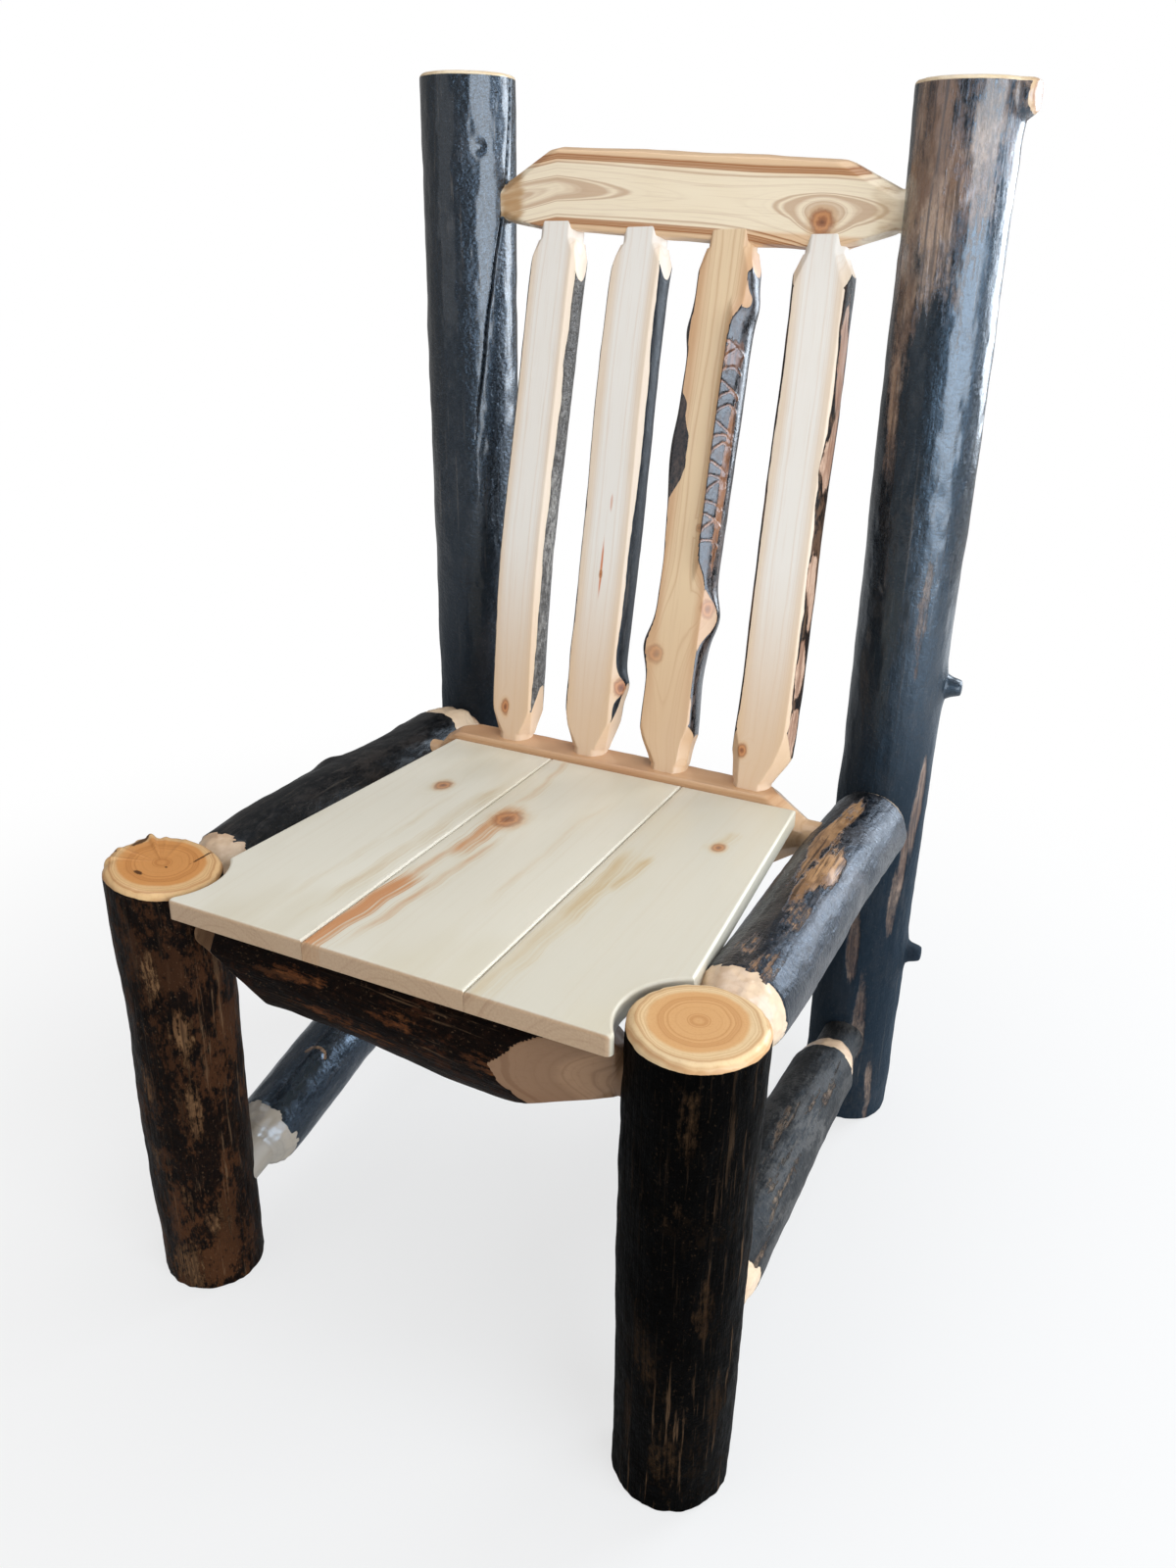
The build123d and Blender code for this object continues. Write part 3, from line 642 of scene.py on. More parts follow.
def log_material(name, bark, wood):
    """Bark, peeled under-bark and bare wood on one log, chosen by its masks."""
    shader = Shader(name)
    grain = shader.attribute("grain", "Vector")
    knot = shader.attribute("knot")
    fine = shader.drawn(grain, 0.5, 210, 5.0, 0.7)
    patches = shader.drawn(grain, 0.45, bark["patch_scale"], 6.0, 0.68, 0.3)
    streaks = shader.drawn(grain, 0.04, 230, 4.0, 0.65)
    pebbles = shader.noise(shader.scaled(grain, 0.8, 0.8, 1.3), 230, 2.0, 0.5)

    base = bark_colour(shader, grain, fine, patches, streaks, bark)
    under = shader.mix(shader.step(patches, 0.42, 0.6), bark["under"], bark["under_light"])
    under = shader.mix(shader.step(streaks, 0.48, 0.64, 0.0, 0.75), under, bark["under_dark"])
    ragged = shader.plus(shader.offset(fine, 0.9), shader.attribute("peel"))
    ragged = shader.plus(shader.offset(streaks, 1.2), ragged)
    peeled = shader.step(ragged, *bark["peel_edge"])
    base = shader.mix(peeled, base, under)
    base = shader.mix(shader.step(knot, 0.6, 1.3, 1.0, 0.0), base, colour(24, 18, 15))

    swirl = shader.attribute("swirl")
    stain = shader.attribute("stain")
    wood_base, wood_height = bare_wood(shader, grain, knot, swirl, stain, wood)
    bare = shader.step(shader.plus(shader.offset(fine, 0.5), shader.attribute("wood")), 0.44, 0.56)

    bark_height = shader.plus_times(fine, 1.0, shader.times(pebbles, bark["pebble"]))
    bark_height = shader.plus_times(streaks, bark["fibre"], bark_height)
    bark_height = shader.plus_times(patches, 1.3, bark_height)
    height = shader.blend(peeled, bark_height, shader.plus_times(streaks, 0.8, -0.2))
    height = shader.blend(bare, height, shader.times(wood_height, 0.22))

    bark_rough = shader.step(fine, 0.3, 0.75, bark["smooth"], bark["rough"])
    bark_varnish = bark["varnish"]
    if "dull_below" in bark:
        up_the_log = shader.parts(grain)[2]
        dull = shader.step(up_the_log, 0.6 * bark["dull_below"], 1.2 * bark["dull_below"], 1.0, 0.0)
        bark_rough = shader.blend(dull, bark_rough, 0.9)
        bark_varnish = shader.blend(dull, bark_varnish, 0.0)
        base = shader.mix(shader.times(dull, 0.45), base, bark["dark"])
    base = shader.mix(bare, base, wood_base)
    roughness = shader.blend(bare, bark_rough, wood["roughness"])
    shader.put(shader.surface.inputs["Coat Weight"], shader.blend(bare, bark_varnish, wood["varnish"]))
    shader.put(shader.surface.inputs["Coat Roughness"], 0.2)
    return shader.finish(base, roughness, height, bark["relief"], bark["specular"], bark["tint"],
                         bark["ior"])


# ---------------- looks that several logs share

LEG_TOP_WOOD = dict(
    PALE_WOOD, heart=colour(214, 164, 112), sap=colour(228, 198, 154), sap_from=0.036,
    cloud_colour=colour(226, 186, 134), ring_colour=colour(172, 112, 62), ring=0.6, ring_rate=130,
    ring_range=(0.42, 0.72), drift_scale=22, ripple=0.0012,
)
HEWN_WOOD = dict(
    PALE_WOOD, heart=colour(216, 184, 152), sap=colour(222, 194, 162), ring=0.28, ring_rate=260,
    cloud_colour=colour(200, 158, 128), ring_colour=colour(170, 124, 92),
)
# Neutral dark bark whose reflections are tinted blue: a painted blue sheen, the colour of daylight reflected
# in it.
BARK_WITH_PAINTED_BLUE_SHEEN = dict(
    BROWN_BARK, dark=colour(6, 6, 6), mid=colour(24, 23, 23), light=colour(50, 49, 50), patch=0.75,
    patch_range=(0.48, 0.68), fleck_colour=colour(104, 95, 86), fleck=0.45, speck=0.25,
    under=colour(116, 88, 64), under_light=colour(164, 130, 98), smooth=0.18, rough=0.36, varnish=0.25,
    specular=1.0, tint=(0.66, 0.82, 1, 1), ior=1.56, pebble=0.8, fibre=0.4, relief=0.0004,
)
PEELED_BARK = dict(BROWN_BARK, relief=0.0008, specular=0.4)


# ---------------- standing logs

def standing(name, x, y, height, radii, seed, rounding, columns=160):
    """Log on its end, with close rings near its foot and top for their rounded edges."""
    rises = rounding * (1 - np.sin(np.linspace(0, math.pi / 2, 8)))
    foot = FOOT_WEAR * (1 - np.sin(np.linspace(0, math.pi / 2, 4)))
    return Log(name, (x, y, 0), (x, y, height), radii, seed, up=(0, 1, 0), columns=columns,
               extra=np.concatenate((height - rises, foot)))


def saw_ends(log, rounding):
    """Rounds over the top edge to bare wood and wears the foot."""
    log.round_over(FOOT_WEAR, at_end=False, chips=1.2)
    worn = log.round_over(rounding, chips=0.5)
    log.cover("wood", smooth_step(0.02, 0.25, worn))


def make_front_leg_left():
    """Mottled brown leg with a sloping, splintered top."""
    leg = standing("front_leg_left_look", LEFT_LEG_X, FRONT_Y, LEG_HEIGHT, (48.5, 49.5, 50.5), 3,
                   LEG_TOP_ROUNDING)
    leg.roughen(sway=2.0, swell=1.8, lumps=1.1, flakes=0.5)
    leg.peel_patches((
        (370, -73, 34, 12), (317, -51, 40, 14), (258, -94, 36, 12), (205, -45, 44, 14),
        (164, -99, 34, 12), (83, -40, 44, 18), (124, -66, 40, 14), (30, -85, 40, 26),
    ), strength=0.6, depth=0.3, fade=1.0, wander=0.7)
    leg.slope_top(7.0, 0)
    saw_ends(leg, LEG_TOP_ROUNDING)
    leg.chip_top(150, 26, 5.0, 4.0)
    leg.chip_top(215, 12, 4.0, 1.0)
    bark = dict(BROWN_BARK, patch_range=(0.48, 0.58), patch_scale=20, light=colour(78, 50, 32), speck=0.22)
    pits = ((-4, -24, 5, 2.5), (-38, 16, 3, 14), (20, 30, 1.2, 16), (-46, -10, 4, 2), (8, -3, 1.5, 1.5))
    wood = dict(LEG_TOP_WOOD, heart=colour(204, 142, 84), sap=colour(220, 180, 130),
                ring_colour=colour(156, 92, 44), pits=pits)
    leg.build(log_material("mottled_bark", bark, wood), "bark_log")


def make_front_leg_right():
    """Nearly black leg with thin scrapes."""
    leg = standing("front_leg_right_look", RIGHT_LEG_X, FRONT_Y, LEG_HEIGHT, (51, 52.5, 53.5), 8,
                   LEG_TOP_ROUNDING)
    leg.roughen(sway=2.0, swell=1.8, lumps=1.0, flakes=0.5)
    leg.peel_patches((
        (399, -74, 40, 8), (330, -77, 40, 8), (239, -49, 40, 8), (158, -96, 50, 10), (120, -30, 50, 8),
        (60, -80, 50, 16), (90, -120, 50, 10),
    ), strength=0.5, depth=0.2, fade=0.9, wander=0.6)
    saw_ends(leg, LEG_TOP_ROUNDING)
    bark = dict(BROWN_BARK, dark=colour(4, 3, 2), mid=colour(11, 9, 7), light=colour(36, 27, 19), patch=0.7,
                patch_range=(0.56, 0.7), fleck=0.3, specular=0.02, speck=0.06, under=colour(54, 40, 27),
                under_light=colour(78, 58, 40), peel_edge=(0.3, 0.9))
    leg.build(log_material("black_bark", bark, LEG_TOP_WOOD), "bark_log")


def make_rear_post_left():
    """Black post with a long drying crack; its sheen is tinted blue as a painted reflection."""
    post = standing("rear_post_left_look", LEFT_POST_X, REAR_Y, LEFT_POST_HEIGHT, (49, 50, 50), 14,
                    POST_TOP_ROUNDING, 300)
    post.roughen(sway=4.0, swell=1.6, lumps=0.8, flakes=0.3)
    post.peel_patches((
        (930, 100, 120, 16, 0.5), (640, 70, 90, 12, 0.45), (330, 120, 90, 14, 0.5), (820, 165, 80, 10, 0.45),
        (480, -150, 60, 8, 0.35), (190, 60, 60, 14, 0.5), (700, -100, 60, 6, 0.3),
    ), depth=0.3, fade=0.6, wander=0.6)
    post.add_knot(1061, -45, 6, -3)
    post.split((760, 796, 889, 958, 1025, 1131), (-58, -54, -40, -27, -10, 2), 3.2, 9.0)
    saw_ends(post, POST_TOP_ROUNDING)
    # The blue specular tint is a painted reflection of daylight.
    bark = dict(BARK_WITH_PAINTED_BLUE_SHEEN, specular=0.8, ior=1.5, varnish=1.0, tint=(0.5, 0.72, 1, 1), dull_below=0.62,
                pebble=2.6, relief=0.0008)
    post.build(log_material("bark_painted_blue_sheen", bark, PALE_WOOD), "bark_log")


def make_rear_post_right():
    """Post with a scraped top, long scars, two branch stubs and a sawn knot beside its top."""
    post = standing("rear_post_right_look", RIGHT_POST_X, REAR_Y, RIGHT_POST_HEIGHT, (50, 49, 49.5), 21,
                    POST_TOP_ROUNDING, 200)
    post.roughen(sway=3.0, swell=1.6, lumps=0.8, flakes=0.3)
    post.peel_patches((
        (1040, -108, 130, 34, 0.85), (1050, -62, 100, 34, 0.62), (980, -84, 90, 40, 0.5),
        (1075, -40, 60, 40, 0.6), (1000, -130, 200, 20, 0.9), (840, -128, 90, 9, 0.9),
    ), depth=0.2, fade=0.8, wander=0.6)
    post.peel_patches((
        (440, -22, 46, 6, 1.0), (392, -29, 40, 5, 0.9), (350, -36, 46, 5, 0.8), (300, -44, 36, 5, 0.6),
        (61, -47, 40, 6, 0.7), (224, -89, 60, 6, 0.66), (140, -70, 60, 7, 0.6), (620, -60, 60, 5, 0.5),
        (980, 60, 150, 24, 0.6), (900, 110, 90, 14, 0.5), (520, 95, 120, 12, 0.45), (210, 130, 70, 14, 0.5),
    ), depth=0.6, fade=0.5, wander=0.6)
    post.add_knot(735, -128, 5)
    post.add_knot(653, -116, 4, -2)
    post.swell(32, -51, 26, 18, 5)
    post.swell(20, -130, 60, 30, 6)
    post.stub(220, 6, 10, 14)
    post.stub(550, 6, 10, 14)
    post.stub(1096, -6, 16, 9, sawn=True)
    saw_ends(post, POST_TOP_ROUNDING)
    # Its tint colours the reflections blue: a painted reflection of daylight.
    bark = dict(BARK_WITH_PAINTED_BLUE_SHEEN, dark=colour(5, 5, 4), mid=colour(20, 17, 15), light=colour(52, 45, 38),
                under=colour(132, 102, 80), under_light=colour(180, 150, 126), under_dark=colour(64, 54, 48),
                peel_edge=(0.25, 0.85), dull_below=0.6, specular=0.85, ior=1.5, varnish=1.0,
                tint=(0.44, 0.7, 1, 1), relief=0.0008, fibre=0.8)
    post.build(log_material("streaked_bark_painted_blue_sheen", bark, PALE_WOOD), "bark_log")


# ---------------- lying logs

def make_front_rail():
    """Mottled rail planed flat under the boards, its hewn ends coloured dark brown as painted shade."""
    left_height, right_height = (SEAT_HEIGHT - drop for drop in FRONT_RAIL_DROPS)
    rail = Log("front_rail_look", (LEFT_LEG_X, FRONT_Y, left_height), (RIGHT_LEG_X, FRONT_Y, right_height),
               (47, 48, 47.5), 30, low=-8, high=8)
    rail.roughen(sway=3.0, swell=2.0, lumps=1.2, flakes=0.5)
    rail.hew_facets(52, 60, TENON_RADIUS, 47, (-150, -90, -30, 30, 150, 215))
    rail.hew_facets(56, 66, TENON_RADIUS, 48, (-160, -115, -60, 0, 60, 170), at_end=True)
    rail.peel_patches((
        (180, 163, 46, 10), (277, 167, 40, 12), (367, 171, 36, 12), (230, -170, 60, 10), (411, -178, 24, 10),
    ), strength=0.58, depth=0.4, fade=1.0, wander=0.7)
    rail.flat(90, np.interp(rail.share, (0, 1), FRONT_RAIL_DROPS) - BOARD_THICKNESS)
    bark = dict(BROWN_BARK, mid=colour(30, 19, 13), light=colour(60, 36, 23), under=colour(84, 50, 30),
                under_light=colour(118, 74, 45), patch_range=(0.53, 0.66), fleck=0.35, speck=0.2)
    # Painted shade: the hewn ends' wood is coloured dark brown for the shade under the seat boards.
    wood = dict(HEWN_WOOD, heart=colour(142, 111, 85), sap=colour(126, 97, 74), ring=0.35,
                cloud_colour=colour(112, 80, 57), ring_colour=colour(92, 62, 41))
    rail.build(log_material("front_rail_bark_with_painted_shade", bark, wood), "bark_log")


def side_log(name, front_x, rear_x, heights, radii, seed):
    """Log from a front leg back to a rear post, with its pith at the given heights at both ends."""
    return Log(name, (front_x, FRONT_Y, heights[0]), (rear_x, REAR_Y, heights[1]), radii, seed,
               low=10, high=-10)


def make_side_rail_left():
    """Grey-brown rail with one lump."""
    heights = [SEAT_HEIGHT - drop for drop in LEFT_SIDE_RAIL_DROPS]
    rail = side_log("side_rail_left_look", LEFT_LEG_X, LEFT_POST_X, heights, (45, 46, 44), 37)
    rail.roughen(sway=3.0, swell=2.2, lumps=1.2, flakes=0.5)
    rail.swell(281, 55, 22, 16, 5)
    rail.hew_round(52, 36, TENON_RADIUS, 46, marks=1.7)
    rail.hew_round(52, 58, TENON_RADIUS + 8, 45, at_end=True)
    # The bark keeps the blue specular tint: a painted reflection of daylight.
    bark = dict(BARK_WITH_PAINTED_BLUE_SHEEN, dark=colour(13, 11, 10), mid=colour(32, 29, 27), light=colour(60, 54, 50),
                fleck=0.5, smooth=0.3, rough=0.5, varnish=0.1, specular=0.35, ior=1.5, pebble=0.5, fibre=0.8)
    rail.build(log_material("grey_bark", bark, HEWN_WOOD), "bark_log")


def make_side_rail_right():
    """Grey rail with one large scraped scar; its sheen is tinted blue as a painted reflection."""
    heights = [SEAT_HEIGHT - drop for drop in RIGHT_SIDE_RAIL_DROPS]
    rear_x = RIGHT_POST_X + RIGHT_SIDE_RAIL_OFFSET
    rail = side_log("side_rail_right_look", RIGHT_LEG_X, rear_x, heights, (40.5, 41, 41), 43)
    rail.roughen(sway=2.0, swell=1.6, lumps=1.0, flakes=0.3)
    rail.peel_patches((
        (288, 102, 56, 16, 0.85), (330, 78, 80, 9, 0.9), (235, 92, 40, 8, 0.7), (430, 84, 50, 9, 0.7),
        (100, 110, 34, 16, 0.5), (130, 75, 34, 16, 0.5), (200, 100, 40, 12, 0.5),
    ), depth=0.5, fade=0.7, wander=0.7)
    rail.hew_round(56, 34, TENON_RADIUS, 41, marks=1.7)
    rail.hew_round(52, 28, TENON_RADIUS, 41, at_end=True)
    # The blue specular tint is a painted reflection of daylight.
    bark = dict(BARK_WITH_PAINTED_BLUE_SHEEN, dark=colour(12, 11, 11), mid=colour(34, 32, 31), light=colour(74, 69, 66),
                patch=0.8, patch_range=(0.46, 0.6), fleck=0.4, speck=0.4, under=colour(132, 98, 66),
                under_light=colour(184, 142, 100), smooth=0.26, rough=0.5, varnish=0.1, specular=0.46,
                tint=(0.4, 0.64, 1, 1), ior=1.5, pebble=1.2, fibre=0.8, relief=0.0007)
    rail.build(log_material("rail_bark_painted_blue_sheen", bark, HEWN_WOOD), "bark_log")


def make_stretcher_left():
    """Glossy stretcher with a crescent scar."""
    front_x = LEFT_LEG_X + LEFT_STRETCHER_OFFSET
    stretcher = side_log("stretcher_left_look", front_x, LEFT_POST_X, LEFT_STRETCHER_HEIGHTS,
                         (36, 38, 41), 51)
    stretcher.roughen(sway=3.0, swell=1.6, lumps=0.9, flakes=0.3)
    stretcher.groove(((158, 92), (166, 98), (170, 108), (168, 120), (162, 126)), 4.0, 1.4)
    stretcher.hew_round(52, 28, TENON_RADIUS + 5, 37)
    stretcher.hew_round(52, 26, TENON_RADIUS, 41, at_end=True)
    # The bluish dark and mid colours and the blue specular tint paint a blue sheen on the gloss.
    bark = dict(BARK_WITH_PAINTED_BLUE_SHEEN, dark=colour(12, 13, 15), mid=colour(34, 37, 43), tint=(0.5, 0.72, 1, 1))
    wood = dict(HEWN_WOOD, heart=colour(172, 160, 144), sap=colour(178, 164, 146),
                cloud_colour=colour(150, 134, 116), ring_colour=colour(130, 112, 92))
    stretcher.build(log_material("glossy_bark_painted_blue_sheen", bark, wood), "bark_log")


def make_stretcher_right():
    """Matt grey stretcher; behind its rear cap the tenon is painted in bark colours as painted shade from
    the post.
    """
    stretcher = side_log("stretcher_right_look", RIGHT_LEG_X, RIGHT_POST_X, RIGHT_STRETCHER_HEIGHTS,
                         (37, 36, 33), 58)
    rear_cap = 94
    stretcher.roughen(sway=3.0, swell=1.6, lumps=0.9, flakes=0.4)
    stretcher.peel_patches((
        (375, 134, 60, 6), (324, 120, 60, 5), (271, 94, 60, 5), (168, 138, 60, 6), (111, 155, 40, 6),
        (220, 118, 50, 5),
    ), strength=0.58, depth=0.4, fade=0.8, wander=0.7)
    stretcher.hew_round(56, 44, TENON_RADIUS, 37)
    stretcher.hew_round(rear_cap, 30, 24, 33, at_end=True)
    # Painted shade: beyond the rear cap the tenon shows the bark's dark colours instead of pale wood.
    stretcher.masks["wood"][stretcher.station > stretcher.length - rear_cap] = 0
    # It keeps the blue specular tint: a painted reflection of daylight.
    bark = dict(BARK_WITH_PAINTED_BLUE_SHEEN, dark=colour(30, 29, 28), mid=colour(60, 58, 56), light=colour(92, 89, 86),
                patch_range=(0.46, 0.6), fleck=0.5, under=colour(102, 84, 68),
                under_light=colour(124, 108, 92), smooth=0.5, rough=0.7, varnish=0.0, specular=0.3,
                ior=1.5, fibre=1.0, relief=0.0008)
    stretcher.build(log_material("grey_bark_painted_blue_sheen", bark, HEWN_WOOD), "bark_log")


# ---------------- peeled rails

def make_rear_seat_rail():
    """Peeled rail, planed flat on top, with a rabbet for the boards' rear ends."""
    left_end, right_end = ((x, REAR_RAIL_Y, REAR_RAIL_HEIGHT) for x in REAR_RAIL_X)
    rail = Log("rear_seat_rail_look", left_end, right_end, (44, 45, 44), 66, low=2, high=-2)
    rail.roughen(sway=0.0, swell=1.5, lumps=0.8, flakes=0.15)
    rail.hew_round(44, 34, SLIM_TENON_RADIUS, 44)
    rail.hew_facets(46, 46, SLIM_TENON_RADIUS, 44, (-140, -90, -40, 10, 60, 120, 180), at_end=True)
    rail.flat(90, REAR_RAIL_TOP - REAR_RAIL_HEIGHT)
    upward = np.sin(rail.angle)
    forward = -np.cos(rail.angle)
    shelf = SEAT_HEIGHT - BOARD_THICKNESS - REAR_RAIL_HEIGHT
    wall = REAR_RAIL_Y - SEAT_BACK_Y - RABBET_GAP
    to_shelf = np.where(upward > 0.02, shelf / np.maximum(upward, 0.02), NO_LIMIT)
    to_wall = np.where(forward > 0.02, wall / np.maximum(forward, 0.02), NO_LIMIT)
    rail.cut(np.maximum(to_shelf, to_wall), 0.5)
    rail.strip()
    wood = dict(PALE_WOOD, heart=colour(210, 172, 134), sap=colour(200, 158, 120), ring=0.45,
                cloud_colour=colour(188, 130, 94))
    rail.build(log_material("peeled_rail", PEELED_BARK, wood), "peeled_log")


def make_crest_rail():
    """Crest sawn flat in front, with hewn ends darkened partly by stain and partly as painted shade, a knot
    and arched rings beside it.
    """
    left_end = (LEFT_POST_X, REAR_Y, LEFT_POST_HEIGHT - CREST_DROPS[0])
    right_end = (RIGHT_POST_X, REAR_Y, RIGHT_POST_HEIGHT - CREST_DROPS[1])
    crest = Log("crest_rail_look", left_end, right_end, (39.5, 40.5, 39.5), 72, low=-8, high=8, columns=220)
    rise_from = (50, 116, crest.length - 111, crest.length - 50)
    crest.bend[..., 1] += np.interp(crest.station, rise_from, (0, 13, 3.5, 0))
    crest.roughen(sway=1.0, swell=1.5, lumps=0.8, flakes=0.2)
    facet_turns = (-150, -105, -60, -10, 40, 90, 140, 200)
    crest.hew_facets(53, 66, TENON_RADIUS, 40, facet_turns)
    crest.hew_facets(53, 62, TENON_RADIUS, 40, facet_turns, at_end=True)
    crest.flat(180, CREST_FLAT)
    crest.strip()
    crest.add_knot(402, -140, 8)
    # Dark spots on the hewn ends: partly stain, partly painted shade at the tips beside the posts.
    for station, strength in ((62, 0.85), (crest.length - 60, 0.6)):
        crest.stain_and_shade_spot(station, 150, 22, 50, strength)
        crest.stain_and_shade_spot(station, -150, 22, 50, strength)
    crest.bend_rings(40, 176, 150, 22, 16)
    crest.bend_rings(408, -142, 62, 34, 14)
    wood = dict(PALE_WOOD, heart=colour(247, 228, 198), sap=colour(230, 192, 152), sap_from=0.029,
                cloud_colour=colour(232, 206, 166), cloud=0.4, ring_colour=colour(164, 106, 62), ring=0.5,
                sap_ring=1.0, ring_rate=120, ring_range=(0.46, 0.6), drift=0.008, drift_scale=9,
                pale_stain=colour(206, 176, 134), stain=colour(184, 140, 92))
    crest.build(log_material("crest_wood", PEELED_BARK, wood), "peeled_log")


# ---------------- back slats

SLAT_WOOD = dict(
    PALE_WOOD, heart=colour(233, 225, 215), sap=colour(226, 205, 182), sap_from=0.0215, sap_blend=0.007,
    cloud_colour=colour(226, 204, 182), cloud=0.75, cloud_scale=9, ring_colour=colour(204, 168, 134),
    ring_rate=150, drift_scale=9, stain=colour(200, 112, 62), foot=colour(214, 176, 136),
    roughness=0.5, varnish=0.12,
)
FOOT_TURNS = (-35, 5, 50, 100, 145, 185, 225)
HEAD_TURNS = (-48, -5, 45, 95, 140, 185, 232)


def slat_log(index, radius, side_bow, foot_bend=0):
    """Small log from the rear seat rail up to the crest, bowed sideways."""
    place = index - 1.5
    foot = (SLAT_FOOT_SHIFT + place * SLAT_FOOT_PITCH, SEAT_BACK_Y + SLAT_FOOT_SETBACK, REAR_RAIL_TOP)
    head = (SLAT_HEAD_SHIFT + place * SLAT_HEAD_PITCH, REAR_Y - SLAT_HEAD_ADVANCE, 975 - 3 * index)
    slat = Log(f"back_slat_{index + 1}_look", foot, head, (radius, radius, radius), 80 + index,
               up=(0, 1, 0), low=-20, high=14, columns=240, step=1.6)
    slat.bend[..., 0] += side_bow * 4 * slat.share * (1 - slat.share)
    above_foot = 1 - smooth_step(0.1, 0.6, slat.share)
    slat.bend[..., 0] += foot_bend * smooth_step(0, 0.06, slat.share) * above_foot
    slat.roughen(sway=1.5, swell=1.2, lumps=0.5, flakes=0.2)
    return slat


def finish_slat(slat, radius, material, foot_neck=18.5, head_neck=22.5, barked=None, waned=None):
    """Hews the tenons and saws the front flat. Bark stays on an edge between the given stations."""
    slat.hew_facets(3, 42, foot_neck, radius, FOOT_TURNS)
    slat.hew_facets(3, 30, head_neck, radius, HEAD_TURNS, at_end=True)
    from_face = np.degrees(slat.turn_from(-90))
    kept = 0.0
    if barked:
        kept = smooth_step(26, 38, from_face) * between(slat.station, *barked)
    slat.flat(-90, SLAT_FLAT + 14 * kept, 0.8)
    slat.flat(-45, radius * (0.94 + 0.14 * kept), 0.6)
    if waned:
        edge = -from_face + 9 * layered(slat.stretched(0.5), 20, slat.seed + 90, 3)
        strip_from = 68 - 26 * between(slat.station, *waned, 30)
        slat.masks["wood"] *= 1 - smooth_step(0, 4, edge - strip_from)
    slat.build(material, "sawn_slat")


def make_first_slat():
    slat = slat_log(0, 29.0, -7)
    slat.add_knot(31, -112, 6)
    bark = dict(BARK_WITH_PAINTED_BLUE_SHEEN, dark=colour(70, 66, 63), mid=colour(124, 119, 114), light=colour(166, 160, 152),
                specular=0.25, ior=1.5, tint=WHITE, varnish=0.0, pebble=1.5, relief=0.0012)
    finish_slat(slat, 29.0, log_material("slat_1_wood", bark, SLAT_WOOD))


def make_second_slat():
    slat = slat_log(1, 31.2, -4)
    slat.add_knot(190, -94, 3)
    slat.stain_and_shade_spot(195, -94, 46, 4, 0.9)
    slat.stain_and_shade_spot(265, -80, 14, 4, 0.6)
    slat.swell(73, 0, 18, 16, 7)
    slat.add_knot(73, -14, 7)
    # The bark keeps the blue specular tint: a painted reflection of daylight.
    bark = dict(BARK_WITH_PAINTED_BLUE_SHEEN, dark=colour(22, 20, 20), mid=colour(50, 47, 46), smooth=0.4, rough=0.6,
                varnish=0.0, specular=0.35, ior=1.5)
    finish_slat(slat, 31.2, log_material("slat_2_wood", bark, SLAT_WOOD))


def make_third_slat():
    """Gnarled brown slat with bark left on one edge, crossed by beetle galleries."""
    slat = slat_log(2, 31.5, -2, -5)
    for station, degrees, half_length, half_width, height in (
        (125, 180, 26, 26, 9), (160, 0, 26, 22, 8), (90, 10, 40, 20, -3), (215, 180, 60, 22, -4),
        (470, 0, 20, 20, 4), (445, 180, 22, 20, 5), (322, 180, 46, 20, 5),
    ):
        slat.swell(station, degrees, half_length, half_width, height)
    slat.add_knot(117, -138, 7)
    slat.add_knot(169, -22, 7)
    slat.add_knot(249, -60, 3)
    slat.bend_rings(125, -130, 50, 18, 9)
    slat.bend_rings(160, -40, 40, 14, 7)
    slat.swell(340, -48, 130, 18, -4)
    slat.peel_patch(300, -22, 90, 5, depth=0.4, fade=0.5)
    slat.peel_patch(420, -40, 16, 16, strength=0.8, depth=0.3, fade=0.6)
    for station in range(232, 440, 13):
        curl = 7 * math.sin(1.3 * station)
        gallery = ((station + curl, -66), (station + 5, -52),
                   (station + 6 - curl, -34), (station - curl, -16))
        slat.groove(gallery, 2.6, -0.7)
    # The bark's faint blue specular tint is a painted reflection of daylight.
    bark = dict(BARK_WITH_PAINTED_BLUE_SHEEN, mid=colour(70, 56, 50), light=colour(112, 92, 80), under=colour(112, 74, 50),
                under_light=colour(150, 104, 72), smooth=0.2, rough=0.45, varnish=0.3, specular=0.8,
                tint=(0.8, 0.88, 1, 1), ior=1.5)
    wood = dict(SLAT_WOOD, heart=colour(228, 198, 158), sap=colour(204, 160, 118), ring=0.65,
                ring_colour=colour(180, 124, 78), drift=0.016, drift_scale=12, knot_share=0.6)
    finish_slat(slat, 31.5, log_material("slat_3_wood", bark, wood), 20.0, 24.0,
                barked=(215, 455), waned=(280, 385))


def make_fourth_slat():
    """Slat with brown, partly peeled bark."""
    slat = slat_log(3, 31.0, 4, 5)
    slat.add_knot(34, -135, 5)
    slat.peel_patches((
        (420, -8, 40, 9), (330, -14, 30, 9), (210, -10, 46, 9), (120, -18, 30, 9), (60, -12, 24, 9),
    ), depth=0.8, fade=0.4, wander=0.7)
    bark = dict(BROWN_BARK, light=colour(112, 84, 64), specular=0.3, under=colour(168, 130, 108),
                under_light=colour(206, 172, 148), under_dark=colour(116, 80, 60))
    finish_slat(slat, 31.0, log_material("slat_4_wood", bark, SLAT_WOOD), 20.0, 21.0)


for make_piece in (
    make_front_leg_left, make_front_leg_right, make_rear_post_left, make_rear_post_right, make_front_rail,
    make_side_rail_left, make_side_rail_right, make_stretcher_left, make_stretcher_right,
    make_rear_seat_rail, make_crest_rail, make_first_slat, make_second_slat, make_third_slat,
    make_fourth_slat,
):
    make_piece()


# ---------------- seat boards and screws

